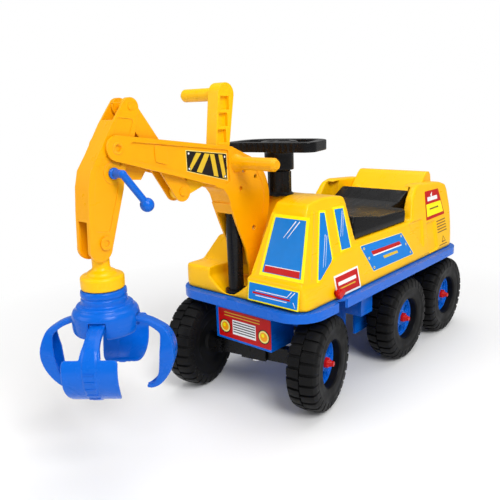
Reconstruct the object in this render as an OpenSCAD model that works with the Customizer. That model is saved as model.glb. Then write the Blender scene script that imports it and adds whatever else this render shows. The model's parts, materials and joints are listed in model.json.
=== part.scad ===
// Ride-on toy excavator truck: six wheels, steered front axle, lift-up seat,
// and a slewing grabber crane worked by a lever and a hand crank.
// Frame: +X is the rider's left, -Y is forwards, +Z is up.
// Origin: ground level, in the middle of the toy's length and width.

/* [Wheels] */
// Outside diameter of a tyre
wheel_d = 150; // [140:1:154]
// Width of a tyre
tyre_w = 46; // [42:1:48]
// Middle of a tyre, from the centreline
track = 107.5; // [106:0.5:110]
// Middle axle, behind the front one
mid_y = 265; // [262:1:270]
// Rear axle, behind the front one
rear_y = 430; // [425:1:436]
// Front wheels' steering angle as modelled
steer_rest = 12; // [0:1:14]
// Radius of the axle rods
axle_r = 4; // [3.5:0.25:4.5]

/* [Chassis] */
// Half width of the rim
rim_x = 134.5; // [132:0.5:137]
// Front end of the rim
rim_front = -51.5; // [-54:0.5:-50]
// Rear end of the rim
rim_rear = 484; // [480:1:490]
// Corner radius of the rim
rim_corner = 48; // [40:1:50]
// Top of the rim, where the body sits
rim_top = 171; // [170:0.5:172]
// Height of the rim
rim_h = 14; // [12:1:16]

/* [Body] */
// Wall of the moulded shells
wall = 3; // [2.5:0.25:3.5]
// Front face of the body
body_front = -38; // [-40:0.5:-37]
// Rear face of the body, at its foot
body_rear = 478; // [474:1:479]
// Half width at the foot
foot_x = 124; // [122:0.5:126]
// Half width at the roof
roof_x = 100; // [98:0.5:104]
// Height of the cab roof
roof_z = 320; // [318:0.5:321]
// Height of the front deck
deck_z = 210; // [208:0.5:212]
// Height of the side sills
sill_z = 245; // [243:0.5:246]
// Height of the rear shelf under the backrest
shelf_z = 262; // [260:0.5:263]
// Inner side of the cab, at the deck
cab_in = 20; // [19:0.5:22]

/* [Crane] */
// Middle plane of the arm
arm_x = -22; // [-23:0.5:-21]
// Slew axis, behind the front axle
post_y = -19; // [-20:0.5:-18]
// Half width of the boom and tower
arm_half = 19; // [18.5:0.25:19.5]
// Half width of the stick
stick_half = 14; // [13.5:0.25:14.5]
// Radius of the well that the tower turns in
well_r = 43; // [42.5:0.25:44]

/* [Claw] */
// Radius of the claw head
head_r = 40; // [39:0.5:41]
// Radius at which the fingers are pinned
finger_pin_r = 34; // [33.5:0.5:34.5]
// Width of a finger at its pin
finger_w = 20; // [18:0.5:20]
// Width of the two bucket fingers
scoop_w = 66; // [60:1:76]
// Turn of the claw about its hanger at rest
claw_turn = -6; // [-20:1:20]

/* [Hidden] */
$fn = 64;
HULL_FN = 32;
run = 0.08;            // radial clearance of a running fit
slip = 0.05;           // radial clearance of a fixed pin
gap = 0.4;             // clearance between neighbours
big = 600;
far = 700;
wheel_r = wheel_d / 2;
axle_z = wheel_r;
tyre_in = track - tyre_w / 2;
tray_bottom = rim_top - rim_h;

// wheel
seat_r = 36;           // tyre seat on the hub
hub_boss_r = 9;
hub_boss_in = 71;      // inner end of the hub's boss, from the centreline
hub_in = tyre_in + 4;
hub_face = 115;        // outer face of the hub disc
boss_end = 118;        // outer end of the hub's boss
hub_hole_r = 5;
hub_hole_pcd = 22;
rod_end = 119;
cap_len = 16;

// chassis
spine_x = 70;
spine_front = 150;
spine_bottom = 58;
skirt_x = 102;
skirt_rear = 186;
skirt_bottom = 107;
bumper_x = 57;
bumper_front = -32;
bumper_rear = 24;
bumper_bottom = 95;
column_y = 68;
shaft_r = 6;
kingpin_r = 5;
kingpin_boss_r = 14;
beam_half_y = 13;
beam_half_z = 12;
beam_boss_top = 104;
crank_arm = 30;        // steering arm length, the same at both ends of the drag link
knob_y = 45;
knob_z = 181;

// crane, side view: [y, z]
TIP = [-233, 413];     // boom tip pivot
tip_r = 15.5;
HEAD = [-27, 318];     // centre of the tower's round head
head_arc_r = 72;
LEVER = [-50, 371];    // lever pivot
LINK_LOW = [-127, 347];
LINK_TOP = [-206, 461];
link_half = 14;
CRANK = [-240, 384];   // crank axis
HANG = [-260, 302];    // claw hanger pivot
SCREWS = [[-12, 364], [6, 274]];
pin_r = 4;
post_r = 12;
journal_r = 10;
journal_z = 300;
grip_r = 9.5;
grip_z = 376;
GRIP_TOP = [-34, 474]; // grip on the lever
link_angle = atan2(LINK_TOP[1] - LINK_LOW[1], LINK_TOP[0] - LINK_LOW[0]);
link_len = norm(LINK_TOP - LINK_LOW);

// claw heights
collar_top = 262;
collar_bottom = 244;
tier_z = 224;
head_bottom = 188;
finger_pin_z = 206;
FINGER_TURN = [for (k = [0:3]) 45 + 90 * k + claw_turn];
BLADE = [37, 155];     // centre of a narrow finger's curved blade, in [radius, z]
blade_r = 48;
SCOOP = [44, 160];     // the same for a bucket finger
scoop_r = 41;
claw_reach = (SCOOP[0] + scoop_r) * sin(45 - claw_turn) + scoop_w / 2 * cos(45 - claw_turn);
// middle of the whole toy's length, which is the origin's place
toy_mid_y = (rear_y + wheel_r + HANG[0] - claw_reach) / 2;

// ---------- helpers ----------

// rounded rectangle with exact arcs; the two front corners and the two rear ones may differ
module rounded_rect(x, y0, y1, rf, rr) {
    for (s = [-1, 1]) {
        translate([s * (x - rf), y0 + rf]) circle(rf);
        translate([s * (x - rr), y1 - rr]) circle(rr);
    }
    translate([-(x - rf), y0]) square([2 * (x - rf), y1 - y0 - rr]);
    translate([-(x - rr), y0 + rf]) square([2 * (x - rr), y1 - y0 - rf]);
    translate([-x, y0 + rf]) square([2 * x, y1 - y0 - rf - rr]);
}

// a [y, z] outline extruded from x0 to x1
module slab(x0, x1) {
    translate([x0, 0, 0]) rotate([90, 0, 90]) linear_extrude(x1 - x0) children();
}

// a rod along X through a [y, z] point
module x_rod(p, x0, x1, r) {
    translate([x0, p[0], p[1]]) rotate([0, 90, 0]) cylinder(h = x1 - x0, r = r);
}

// an [x, z] outline extruded along the whole length
module bar() {
    translate([0, far, 0]) rotate([90, 0, 0]) linear_extrude(2 * far) children();
}

// block between two corners
module block(lo, hi) {
    translate(lo) cube(hi - lo);
}

// ---------- wheels ----------

// Places a wheel part drawn with its axle along +X, outwards, and x measured from the centreline.
module at_wheel(axle, side) {
    y = axle == 0 ? 0 : axle == 1 ? mid_y : rear_y;
    translate([0, y, axle_z]) rotate([0, 0, (axle == 0 ? steer_rest : 0) + (side > 0 ? 0 : 180)]) children();
}

module tyre() {
    flank = wheel_r - 8;
    half = tyre_w / 2;
    color("#1b1b1c") translate([track, 0, 0]) rotate([0, 90, 0]) rotate_extrude()
        polygon([[seat_r + slip, -half + 6], [seat_r + 4, -half + 1], [flank - 8, -half], [flank, -half + 2],
                 [wheel_r - 1, -half + 5], [wheel_r, -half / 3], [wheel_r, half / 3],
                 [wheel_r - 1, half - 5], [flank, half - 2], [flank - 8, half], [seat_r + 4, half - 1],
                 [seat_r + slip, half - 6]]);
}

module hub() {
    disc = 4;
    color("#1f78e0") difference() {
        union() {
            x_rod([0, 0], hub_in, hub_face, seat_r);
            x_rod([0, 0], hub_boss_in, boss_end, hub_boss_r);
        }
        difference() {
            x_rod([0, 0], hub_in - 1, hub_face - disc, seat_r - disc);
            x_rod([0, 0], hub_in - 2, hub_face, hub_boss_r);
        }
        x_rod([0, 0], 0, big, axle_r + run);
        for (a = [0:60:300])
            rotate([a, 0, 0]) x_rod([hub_hole_pcd, 0], hub_face - 2 * disc, hub_face + 1, hub_hole_r);
    }
}

module cap() {
    skirt = 4;
    lobe = 8.5;
    color("#d01818") difference() {
        union() {
            x_rod([0, 0], boss_end, boss_end + skirt, 7);
            translate([boss_end + skirt, 0, 0]) rotate([0, 90, 0])
                cylinder(h = cap_len - 2 * skirt, r1 = 7, r2 = 4);
            for (a = [0, 120, 240])
                rotate([a, 0, 0]) block([boss_end, -2, 0], [boss_end + skirt + 3, 2, lobe]);
            x_rod([0, 0], boss_end + cap_len - 2 * skirt, boss_end + cap_len - skirt + 2, 4);
        }
        x_rod([0, 0], boss_end - 1, rod_end + 1, axle_r + run);
    }
}

module axle_rod() {
    color("#b9bcc0") x_rod([0, 0], -rod_end, rod_end, axle_r);
}

// ---------- chassis ----------

module rim_plan(t = 0) {
    rounded_rect(rim_x - t, rim_front + t, rim_rear - t, rim_corner - t, rim_corner - t);
}

module chassis_tray() {
    color("#1f78e0") difference() {
        union() {
            translate([0, 0, tray_bottom]) linear_extrude(rim_h) rim_plan();
            block([-bumper_x, bumper_front, bumper_bottom], [bumper_x, bumper_rear, rim_top - 1]);
            block([-skirt_x, spine_front, skirt_bottom], [skirt_x, skirt_rear, rim_top - 1]);
            block([-spine_x, spine_front, spine_bottom], [spine_x, body_rear - 4, rim_top - 1]);
        }
        difference() {
            translate([0, 0, tray_bottom - 1]) linear_extrude(rim_h - 3) rim_plan(4);
            block([-bumper_x, bumper_front, 0], [bumper_x, bumper_rear, rim_top]);
            block([-skirt_x, spine_front, 0], [skirt_x, skirt_rear, rim_top]);
            block([-spine_x, spine_front, 0], [spine_x, body_rear - 4, rim_top]);
        }
        difference() {
            union() {
                block([-bumper_x + wall, bumper_front + wall, 0],
                      [bumper_x - wall, bumper_rear - wall, rim_top - 4]);
                block([-skirt_x + wall, spine_front + wall, 0],
                      [skirt_x - wall, skirt_rear - wall, rim_top - 4]);
                block([-spine_x + 4, spine_front + wall, 0], [spine_x - 4, body_rear - 8, rim_top - 4]);
            }
            translate([0, 0, beam_boss_top + gap]) cylinder(h = big, r = kingpin_boss_r);
            for (x = [-spine_x + 4, spine_x - 12], y = [mid_y, rear_y])
                block([x, y - 14, spine_bottom], [x + 8, y + 14, 92]);
        }
        translate([0, 0, 50]) cylinder(h = 107, r = kingpin_r + slip);
        translate([0, column_y, tray_bottom - 1]) cylinder(h = big, r = shaft_r + 2);
        translate([arm_x, post_y, tray_bottom - 1]) cylinder(h = big, r = journal_r + 1 + slip);
        for (y = [mid_y, rear_y]) x_rod([y, axle_z], -big, big, axle_r + slip);
        for (s = [-1, 1]) translate([s * (rim_x + 2), knob_y, tray_bottom - 1]) cylinder(h = big, r = 12);
    }
}

// ---------- body ----------

// outer space of the body, drawn in by t; its sides lean inwards
module body_space(t = 0) {
    foot = rim_top - (t > 0 ? 4 * wall : 0);
    lean = (foot_x - roof_x) / (roof_z - rim_top);
    intersection() {
        translate([0, 0, foot]) linear_extrude(roof_z - foot + 10)
            rounded_rect(foot_x - t, body_front + t, body_rear - t, 22 - t, 40 - t);
        bar() offset(delta = -t)
            polygon([[-foot_x - lean * (rim_top - 100), 100], [foot_x + lean * (rim_top - 100), 100],
                     [roof_x - lean * 10, roof_z + 10], [-roof_x + lean * 10, roof_z + 10]]);
    }
}

// side outlines, all standing on the foot line
function deck_line(foot) = [
    [body_front - 5, foot], [body_front, deck_z], [2, deck_z], [2 + sill_z - deck_z, sill_z],
    [372, sill_z], [378, shelf_z], [470, shelf_z], [body_rear, foot]];
function cab_line(foot) = [
    [body_front - 5, foot], [body_front, deck_z - 4], [body_front + 5, deck_z], [0, 305], [8, roof_z - 2],
    [50, roof_z], [98, roof_z - 2], [103, roof_z - 8], [117, sill_z], [117, foot]];
function console_line(foot) = [
    [post_y + 75, foot], [post_y + 75, roof_z - 8], [post_y + 79, roof_z - 2], [98, roof_z - 2], [112, sill_z],
    [112, foot]];
function rear_line(foot) = [
    [300, foot], [304, sill_z], [316, 282], [332, 300], [352, 305], [440, 299], [462, 292], [467, 280],
    [body_rear, foot]];

module body_mass(t = 0) {
    foot = rim_top - (t > 0 ? 2 * wall : 0);
    intersection() {
        body_space(t);
        union() {
            slab(-big / 2, big / 2) offset(delta = -t) polygon(deck_line(foot));
            intersection() {
                slab(0, big / 2) offset(delta = -t) polygon(cab_line(foot));
                bar() offset(delta = -t)
                    polygon([[cab_in - 12, deck_z - 66], [40, roof_z], [42, roof_z + 10], [big / 2, roof_z + 10],
                             [big / 2, deck_z - 66]]);
            }
            slab(-45 + t, 45) offset(delta = -t) polygon(console_line(foot));
            for (x = [-big / 2, 76 + t])
                slab(x, x + big / 2 - 76 - t) offset(delta = -t) polygon(rear_line(foot));
        }
    }
}

module well(r_top, r_low, floor_z) {
    translate([arm_x, post_y, floor_z]) cylinder(h = 22, r1 = r_low, r2 = r_top);
    translate([arm_x, post_y, floor_z + 22]) cylinder(h = sill_z - floor_z, r = r_top);
}

module body_shell() {
    color("#ffc60a") difference() {
        union() {
            difference() {
                body_mass();
                body_mass(wall);
            }
            intersection() {
                body_mass();
                translate([arm_x, post_y, rim_top]) cylinder(h = sill_z - rim_top, r = well_r + wall);
                block([-big, -big, 0], [cab_in + 2, big, big]);
            }
        }
        intersection() {
            well(well_r, journal_r + 8, rim_top + wall);
            block([-big, -big, 0], [cab_in - 1, big, big]);
        }
        translate([arm_x, post_y, 0]) cylinder(h = big / 2, r = journal_r + 1 + slip);
        translate([0, column_y, sill_z]) cylinder(h = big, r = shaft_r + 2);
        block([-92, 130, sill_z - 10], [92, 356, sill_z + 10]);
        x_rod([knob_y, knob_z], -big, big, pin_r + run);
    }
}

module backrest() {
    ear_in = 58;
    ear_w = 8;
    color("#ffc60a") difference() {
        union() {
            slab(-75.5, 75.5)
                polygon([[380, shelf_z], [428, 311], [436, 317], [448, 317], [454, 311], [466, shelf_z]]);
            for (x = [-ear_in - ear_w, ear_in]) slab(x, x + ear_w) {
                translate([366, 279]) circle(8);
                polygon([[366, 271.4], [391, 271.4], [407, 286.6], [366, 286.6]]);
            }
        }
        slab(-75.5 + wall, 75.5 - wall)
            polygon([[388, shelf_z - 1], [430, 306], [438, 313], [446, 313], [450, 309], [461, shelf_z - 1]]);
        x_rod([366, 279], -100, 100, 3 + slip);
    }
}

module seat_outline(t) {
    offset(delta = -t) polygon([[118.5, sill_z + gap - (t > 0 ? 8 : 0)], [120, 272], [128, 281],
                                [150, 278], [210, 268], [290, 266], [330, 272], [362, 288], [370, 288], [372, 284],
                                [372, 249], [368, sill_z + gap - (t > 0 ? 8 : 0)]]);
}

module seat_plan(t) {
    for (s = [-1, 1]) {
        translate([s * (106 - 14), 286]) circle(14 - t);
        translate([s * (73 - 10), 362]) circle(10 - t);
    }
    translate([-106 + t, 100]) square([212 - 2 * t, 186]);
    translate([-92, 100]) square([184, 200 - t]);
    translate([-73 + t, 100]) square([146 - 2 * t, 262]);
    translate([-63, 100]) square([126, 272 - t]);
}

module seat_lid() {
    lean = 0.16;
    color("#232324") difference() {
        union() {
            difference() {
                intersection() {
                    slab(-110, 110) seat_outline(0);
                    translate([0, 0, sill_z]) linear_extrude(60) seat_plan(0);
                    slab_front(106 + 3, lean);
                }
                intersection() {
                    slab(-110, 110) seat_outline(wall);
                    translate([0, 0, sill_z - 10]) linear_extrude(60) seat_plan(wall);
                    slab_front(106, lean);
                }
            }
            x_rod([366, 279], -56, 56, 7);
        }
        x_rod([366, 279], -100, 100, 3 + run);
        for (x = [-67.5, 56.5]) block([x, 355, 268], [x + 11, 380, 300]);
    }
}

// a bar along Y whose sides lean inwards
module slab_front(x, lean) {
    translate([0, big, 0]) rotate([90, 0, 0]) linear_extrude(big)
        polygon([[-x, sill_z - 10], [x, sill_z - 10], [x - lean * 70, sill_z + 60], [-x + lean * 70, sill_z + 60]]);
}

module seat_hinge_pin() {
    color("#b9bcc0") x_rod([366, 279], -65, 65, 3);
}

module lock_knob() {
    lobe = 4;
    color("#d01818") {
        x_rod([knob_y, knob_z], 110, foot_x + 1, pin_r);
        x_rod([knob_y, knob_z], foot_x + 1, foot_x + 6, 8);
        hull() for (s = [-1, 1]) x_rod([knob_y + s * lobe, knob_z + s * 2], foot_x + 5, foot_x + 9, lobe);
        block([110, knob_y - 3, knob_z - 9], [113, knob_y + 3, knob_z + 9]);
    }
}

// ---------- steering ----------

module at_column() {
    translate([0, column_y, 0]) children();
}

module column_housing() {
    foot = roof_z - 2;
    color("#1c1c1d") at_column() difference() {
        union() {
            translate([0, 0, foot]) cylinder(h = 3, r = 21.5);
            translate([0, 0, foot]) cylinder(h = 38, r = 20.5);
            for (z = [8:8:32]) translate([0, 0, foot + z]) cylinder(h = 1.5, r = 21.2);
            translate([0, 0, foot - 12]) cylinder(h = 12, r = shaft_r + 2 - slip);
        }
        translate([0, 0, foot - 13]) cylinder(h = 60, r = shaft_r + run);
    }
}

// plan of the rim, drawn in from its outer edge; straight in front, rounder to the rear
module wheel_plan(inset) {
    hull() {
        for (s = [-1, 1]) {
            translate([s * 60, -28]) circle(16 - inset * 0.9, $fn = HULL_FN);
            translate([s * 30, 6]) circle(44 - inset, $fn = HULL_FN);
        }
    }
}

module steering_wheel() {
    rim_z = 387;
    rim_h = 15;
    rim_wide = 15;
    color("#1c1c1d") at_column() rotate([0, 0, steer_rest]) difference() {
        union() {
            translate([0, 0, rim_z]) linear_extrude(rim_h) difference() {
                wheel_plan(0);
                wheel_plan(rim_wide);
            }
            for (s = [[0, 66], [180, 66], [270, 36]])
                translate([0, 0, rim_z + rim_h / 2]) rotate([0, 90, s[0]]) cylinder(h = s[1], r = 5);
            translate([0, 0, 357]) cylinder(h = 29, r = 23);
            translate([0, 0, 385]) cylinder(h = 10, r = 26);
        }
        translate([0, 0, 350]) cylinder(h = 40, r = shaft_r + slip);
        translate([0, 0, 392]) cylinder(h = 40, r = 18.2);
    }
}

module horn_cap() {
    color("#1c1c1d") at_column() translate([0, 0, 392 + slip]) {
        cylinder(h = 4, r = 18);
        translate([0, 0, 4]) cylinder(h = 4, r1 = 18, r2 = 14);
    }
}

module steering_shaft() {
    color("#b9bcc0") at_column() rotate([0, 0, steer_rest]) {
        translate([0, 0, 95]) cylinder(h = 295, r = shaft_r);
        translate([0, 0, 95]) cylinder(h = 6, r = 11);
        translate([-crank_arm, 0, 95]) cylinder(h = 6, r = 7);
        block([-crank_arm, -6, 95], [0, 6, 101]);
        translate([-crank_arm, 0, 88.5]) cylinder(h = 8, r = pin_r);
    }
}

module drag_link() {
    off = [-crank_arm * cos(steer_rest), -crank_arm * sin(steer_rest), 88.5];
    color("#2a2a2b") translate(off) difference() {
        union() {
            for (y = [0, column_y]) translate([0, y, 0]) cylinder(h = 6, r = 8);
            block([-5, 0, 0], [5, column_y, 6]);
        }
        for (y = [0, column_y]) translate([0, y, -1]) cylinder(h = 8, r = pin_r + run);
    }
}

module kingpin() {
    head_z = axle_z - beam_half_z - 4;
    color("#b9bcc0") {
        translate([0, 0, head_z]) cylinder(h = 150 - head_z, r = kingpin_r);
        translate([0, 0, head_z]) cylinder(h = 3.6, r = 10);
    }
}

module front_axle_beam() {
    color("#1c1c1d") translate([0, 0, axle_z]) rotate([0, 0, steer_rest]) difference() {
        union() {
            block([-hub_boss_in + 1, -beam_half_y, -beam_half_z], [hub_boss_in - 1, beam_half_y, beam_half_z]);
            cylinder(h = beam_boss_top - axle_z, r = kingpin_boss_r);
            translate([-crank_arm, 0, 0]) cylinder(h = 19.5, r = pin_r);
        }
        for (x = [-60, 22]) block([x, -beam_half_y - 1, -beam_half_z - 1], [x + 38, -7, 30]);
        for (x = [-60, 22]) block([x, 7, -beam_half_z - 1], [x + 38, beam_half_y + 1, 30]);
        translate([0, 0, -20]) cylinder(h = 60, r = kingpin_r + run);
        for (s = [-1, 1]) x_rod([0, 0], s > 0 ? 16 : -big, s > 0 ? big : -16, axle_r + slip);
    }
}

// two stub rods, one each side of the kingpin
module front_axle_rod() {
    color("#b9bcc0") translate([0, 0, axle_z]) rotate([0, 0, steer_rest]) {
        x_rod([0, 0], 16, rod_end, axle_r);
        x_rod([0, 0], -rod_end, -16, axle_r);
    }
}

// ---------- crane ----------

module slew_post() {
    foot = rim_top + wall;
    color("#1c1c1d") translate([arm_x, post_y, 0]) {
        translate([0, 0, rim_top - 4]) cylinder(h = foot - rim_top + 4, r = journal_r + 1);
        translate([0, 0, foot]) cylinder(h = 5, r = journal_r + 7);
        translate([0, 0, foot]) cylinder(h = journal_z - foot, r = post_r);
        translate([0, 0, journal_z]) cylinder(h = 50, r = journal_r);
    }
}

// side outline of boom and tower
module arm_outline() {
    translate(TIP) circle(tip_r);
    polygon([TIP + [2.2, 15.3], [-36, 400.5], [-20, 340], [-46, 340.7], TIP + [-4.4, -14.9]]);
    intersection() {
        translate(HEAD) circle(head_arc_r);
        polygon([[-50, 339], [-40, 380], [-36, 400.5], [60, 400], [60, 300], [40, 280], [-32, 285]]);
    }
    polygon([[-36, 400.5], [0, 384.5], [-20, 350], [-46, 350]]);
    polygon([[-74, 348], [-40, 350], [-32, 285], [-48, 331], [-56, 341]]);
    polygon([[-45, 318], [-32, 285], [-15, 247], [-8, 216], [-6, 190], [6, 190], [12, 215], [20, 245],
             [38, 280], [44, 304], [30, 330]]);
}

// one half of the boom and tower; side is +1 for the rider's left
module arm_half_shell(side) {
    inner = arm_half - wall;
    x_in = side > 0 ? arm_x : arm_x - inner;
    difference() {
        union() {
            slab(side > 0 ? arm_x + inner : arm_x - arm_half, side > 0 ? arm_x + arm_half : arm_x - inner)
                arm_outline();
            difference() {
                slab(x_in, x_in + inner) arm_outline();
                slab(x_in - 1, x_in + inner + 1) offset(delta = -wall) arm_outline();
                // tip fork, link slot below and above, lever slot, open tower foot
                block([-big, -big, 0], [big, -150, big]);
                block([-big, -151, 0], [big, -62, 385]);
                block([-big, -82, 392], [big, -14, big]);
                block([-big, -big, 0], [big, -5, journal_z + 2]);
                block([-big, -big, 0], [big, big, 200]);
            }
            // half of the slewing socket
            intersection() {
                translate([arm_x - big / 2, post_y - journal_r - 4, journal_z + gap])
                    cube([big, 2 * journal_r + 8, 52]);
                block([side > 0 ? arm_x : x_in - 1, -big, 0], [side > 0 ? x_in + inner + 1 : arm_x, big, big]);
            }
            for (p = SCREWS) x_rod(p, x_in, x_in + inner, 5);
            x_rod(LEVER, side > 0 ? arm_x + 11 : arm_x - inner, side > 0 ? arm_x + inner : arm_x - 11, 8);
        }
        translate([arm_x, post_y, 0]) cylinder(h = 350 + gap, r = journal_r + run);
        for (p = SCREWS) x_rod(p, -big, big, 2 + slip);
        for (p = SCREWS) x_rod(p, arm_x + arm_half - 6, big, 4);
        x_rod(TIP, -big, big, pin_r + slip);
        x_rod(LEVER, arm_x - arm_half + 1.5, arm_x + arm_half - 1.5, pin_r + slip);
    }
}

module arm_left_shell() {
    color("#f5b400") {
        arm_half_shell(1);
        // slewing grip with its flared root
        translate([arm_x + arm_half, -27, grip_z]) rotate([0, 90, 0]) cylinder(h = 12, r1 = 14, r2 = grip_r);
        x_rod([-27, grip_z], arm_x + arm_half, 68, grip_r);
        translate([68, -27, grip_z]) rotate([0, 90, 0]) cylinder(h = 5, r1 = grip_r, r2 = 6);
    }
}

module arm_right_shell() {
    color("#f5b400") arm_half_shell(-1);
}

module arm_screws() {
    x_end = arm_x + arm_half - 6;
    color("#b9bcc0") for (p = SCREWS) {
        x_rod(p, arm_x - 14, x_end, 2);
        x_rod(p, x_end, x_end + 2, 3.8);
    }
}

module stick_pivot_pin() {
    color("#a33a12") x_rod(TIP, arm_x - arm_half + 1, arm_x + arm_half - 2, pin_r);
}

module lever_pin() {
    color("#b9bcc0") x_rod(LEVER, arm_x - arm_half + 1.6, arm_x + arm_half - 1.6, pin_r);
}

module control_lever() {
    half = 10.5;
    eye = 6.5;
    eye_r = 10.5;
    slack = 2.7;          // the link's lower joint has play in the lever's eye
    color("#ffc60a") difference() {
        union() {
            slab(arm_x - half, arm_x + half) {
                hull() {
                    translate(LEVER) circle(13, $fn = HULL_FN);
                    translate(GRIP_TOP) circle(16, $fn = HULL_FN);
                }
            }
            slab(arm_x - eye, arm_x + eye) {
                translate(LINK_LOW) circle(eye_r);
                polygon([LEVER + [0, 12], LEVER + [0, -12], LINK_LOW + [2, -10], LINK_LOW + [-2, 10]]);
            }
            x_rod(GRIP_TOP, arm_x - half - 64, arm_x, grip_r);
            translate([arm_x - half - 68, GRIP_TOP[0], GRIP_TOP[1]]) rotate([0, 90, 0])
                cylinder(h = 4, r1 = 6.5, r2 = grip_r);
        }
        x_rod(LEVER, -big, big, pin_r + run);
        x_rod(LINK_LOW, -big, big, pin_r + slack);
        // moulded pockets in the side of the bar
        for (k = [1:3]) translate([arm_x + half - 6, LEVER[0] + k * 4.2 - 8.5, LEVER[1] + 12 + k * 23])
            cube([7, 17, 19]);
    }
}

module push_link() {
    half = 10;
    color("#f59a00") difference() {
        translate([0, LINK_LOW[0], LINK_LOW[1]]) rotate([link_angle, 0, 0]) difference() {
            // drawn along +Y from its lower pivot
            union() {
                x_rod([0, 0], arm_x - half, arm_x + half, link_half);
                x_rod([link_len, 0], arm_x - half, arm_x + half, 11);
                slab(arm_x - half, arm_x + half)
                    polygon([[0, -link_half + 0.2], [0, link_half - 0.2], [link_len, 10.8], [link_len, -10.8]]);
            }
            // hollow between the cheeks, open to the front, and at both ends
            block([arm_x - 7.5, -40, -8.5], [arm_x + 7.5, 200, 40]);
            block([arm_x - 7.5, -40, -40], [arm_x + 7.5, 46, 40]);
            block([arm_x - 7.5, link_len - 22, -40], [arm_x + 7.5, 200, 40]);
        }
        x_rod(LINK_LOW, -big, big, pin_r + slip);
        x_rod(LINK_TOP, -big, big, pin_r + run);
    }
}

module link_lower_pin() {
    color("#f59a00") {
        x_rod(LINK_LOW, arm_x - 10, arm_x + 10, pin_r);
        x_rod(LINK_LOW, arm_x + 10, arm_x + 11.5, 6);
    }
}

module link_upper_pin() {
    color("#f5b400") x_rod(LINK_TOP, arm_x - stick_half + 1, arm_x + stick_half + 1, pin_r);
}

module stick_outline() {
    translate([-206, 460]) circle(12);
    translate([-266, 296]) circle(16);
    polygon([[-217, 465.5], [-236, 441], [-258, 407], [-271, 389], [-276, 370], [-279, 340], [-281.8, 297],
             [-262, 290], [-251, 291], [-226, 364], [-222, 385], [-203, 427], [-194, 460]]);
}

// one half of the stick; side is +1 for the rider's left
module stick_half_shell(side) {
    inner = stick_half - wall;
    x_in = side > 0 ? arm_x : arm_x - inner;
    plate = side > 0 ? arm_x + inner : arm_x - stick_half;
    difference() {
        union() {
            slab(plate, plate + wall) stick_outline();
            difference() {
                slab(x_in, x_in + inner) stick_outline();
                slab(x_in - 1, x_in + inner + 1) offset(delta = -wall) stick_outline();
                // window at the top, link side, hanger slot and foot
                block([-big, -232, 442], [big, -200, 466]);
                block([-big, -216, 392], [big, 0, big]);
                block([arm_x - 9, -big, 288], [arm_x + 9, -270, 330]);
                block([-big, -big, 0], [big, big, 290]);
                block([arm_x - 9, -262, 270], [arm_x + 9, 0, 318]);
            }
            // stop lug behind the boom pivot
            slab(side > 0 ? arm_x : arm_x - 5, side > 0 ? arm_x + 5 : arm_x)
                polygon([[-228, 394], [-192, 390], [-184, 380], [-192, 370], [-228, 374]]);
            for (p = [HANG, TIP])
                x_rod(p, side > 0 ? arm_x + 8.5 : arm_x - inner, side > 0 ? arm_x + inner : arm_x - 8.5, 8);
        }
        x_rod(TIP, -big, big, pin_r + run);
        x_rod(LINK_TOP, -big, big, pin_r + slip);
        x_rod(HANG, -big, big, pin_r + slip);
        if (side > 0) x_rod(CRANK, arm_x, big, 5 + run);
    }
}

module stick_left_half() {
    color("#f5b400") {
        stick_half_shell(1);
        difference() {
            x_rod(HANG, arm_x + stick_half - 1, arm_x + stick_half + 3, 8);
            x_rod(HANG, -big, big, pin_r + slip);
        }
    }
}

module stick_right_half() {
    color("#f5b400") stick_half_shell(-1);
}

module hanger_pin() {
    color("#c06010") x_rod(HANG, arm_x - stick_half + 1, arm_x + stick_half + 1.5, pin_r);
}

module claw_crank() {
    elbow_x = 11;
    ball = [13, -209, 343];
    color("#1668d8") {
        x_rod(CRANK, arm_x + 10, elbow_x, 5);
        x_rod(CRANK, arm_x + stick_half + 0.6, arm_x + stick_half + 4, 7);
        translate([elbow_x, CRANK[0], CRANK[1]]) sphere(5);
        translate([elbow_x, CRANK[0], CRANK[1]])
            rotate([atan2(CRANK[0] - ball[1], ball[2] - CRANK[1]), 0, 0]) rotate([0, 3, 0])
                cylinder(h = 46, r = 4.6);
        translate(ball) sphere(9);
    }
}

module cord_drum() {
    color("#1668d8") {
        x_rod(CRANK, arm_x - 9, arm_x + 10, 6);
        for (x = [-9, 7.5]) x_rod(CRANK, arm_x + x, arm_x + x + 1.5, 10);
    }
}

module cord_upper() {
    top = CRANK + [-7.2, -2];
    foot = HANG + [-6, 10];
    color("#f2f2ee") translate([arm_x, foot[0], foot[1]])
        rotate([-atan2(top[0] - foot[0], top[1] - foot[1]), 0, 0]) cylinder(h = norm(top - foot), r = 0.9);
}

// ---------- claw ----------

module at_claw() {
    translate([arm_x, HANG[0], 0]) children();
}

module claw_hanger() {
    color("#ffc60a") difference() {
        union() {
            at_claw() {
                block([-7.5, -9, collar_top], [7.5, 9, HANG[1]]);
                translate([0, 0, collar_top + 4]) cylinder(h = 6, r1 = 17, r2 = 10);
                translate([0, 0, collar_top]) cylinder(h = 4, r1 = 27, r2 = 17);
                translate([0, 0, collar_bottom]) cylinder(h = collar_top - collar_bottom, r = 28);
                translate([0, 0, tier_z]) cylinder(h = collar_bottom - tier_z + 1, r = 12);
                translate([0, 0, tier_z]) cylinder(h = 4, r = 17);
            }
            x_rod(HANG, arm_x - 7.5, arm_x + 7.5, 9);
        }
        x_rod(HANG, -big, big, pin_r + run);
        at_claw() translate([0, 0, tier_z - 1]) cylinder(h = 68, r = 2.5);
    }
}

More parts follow.
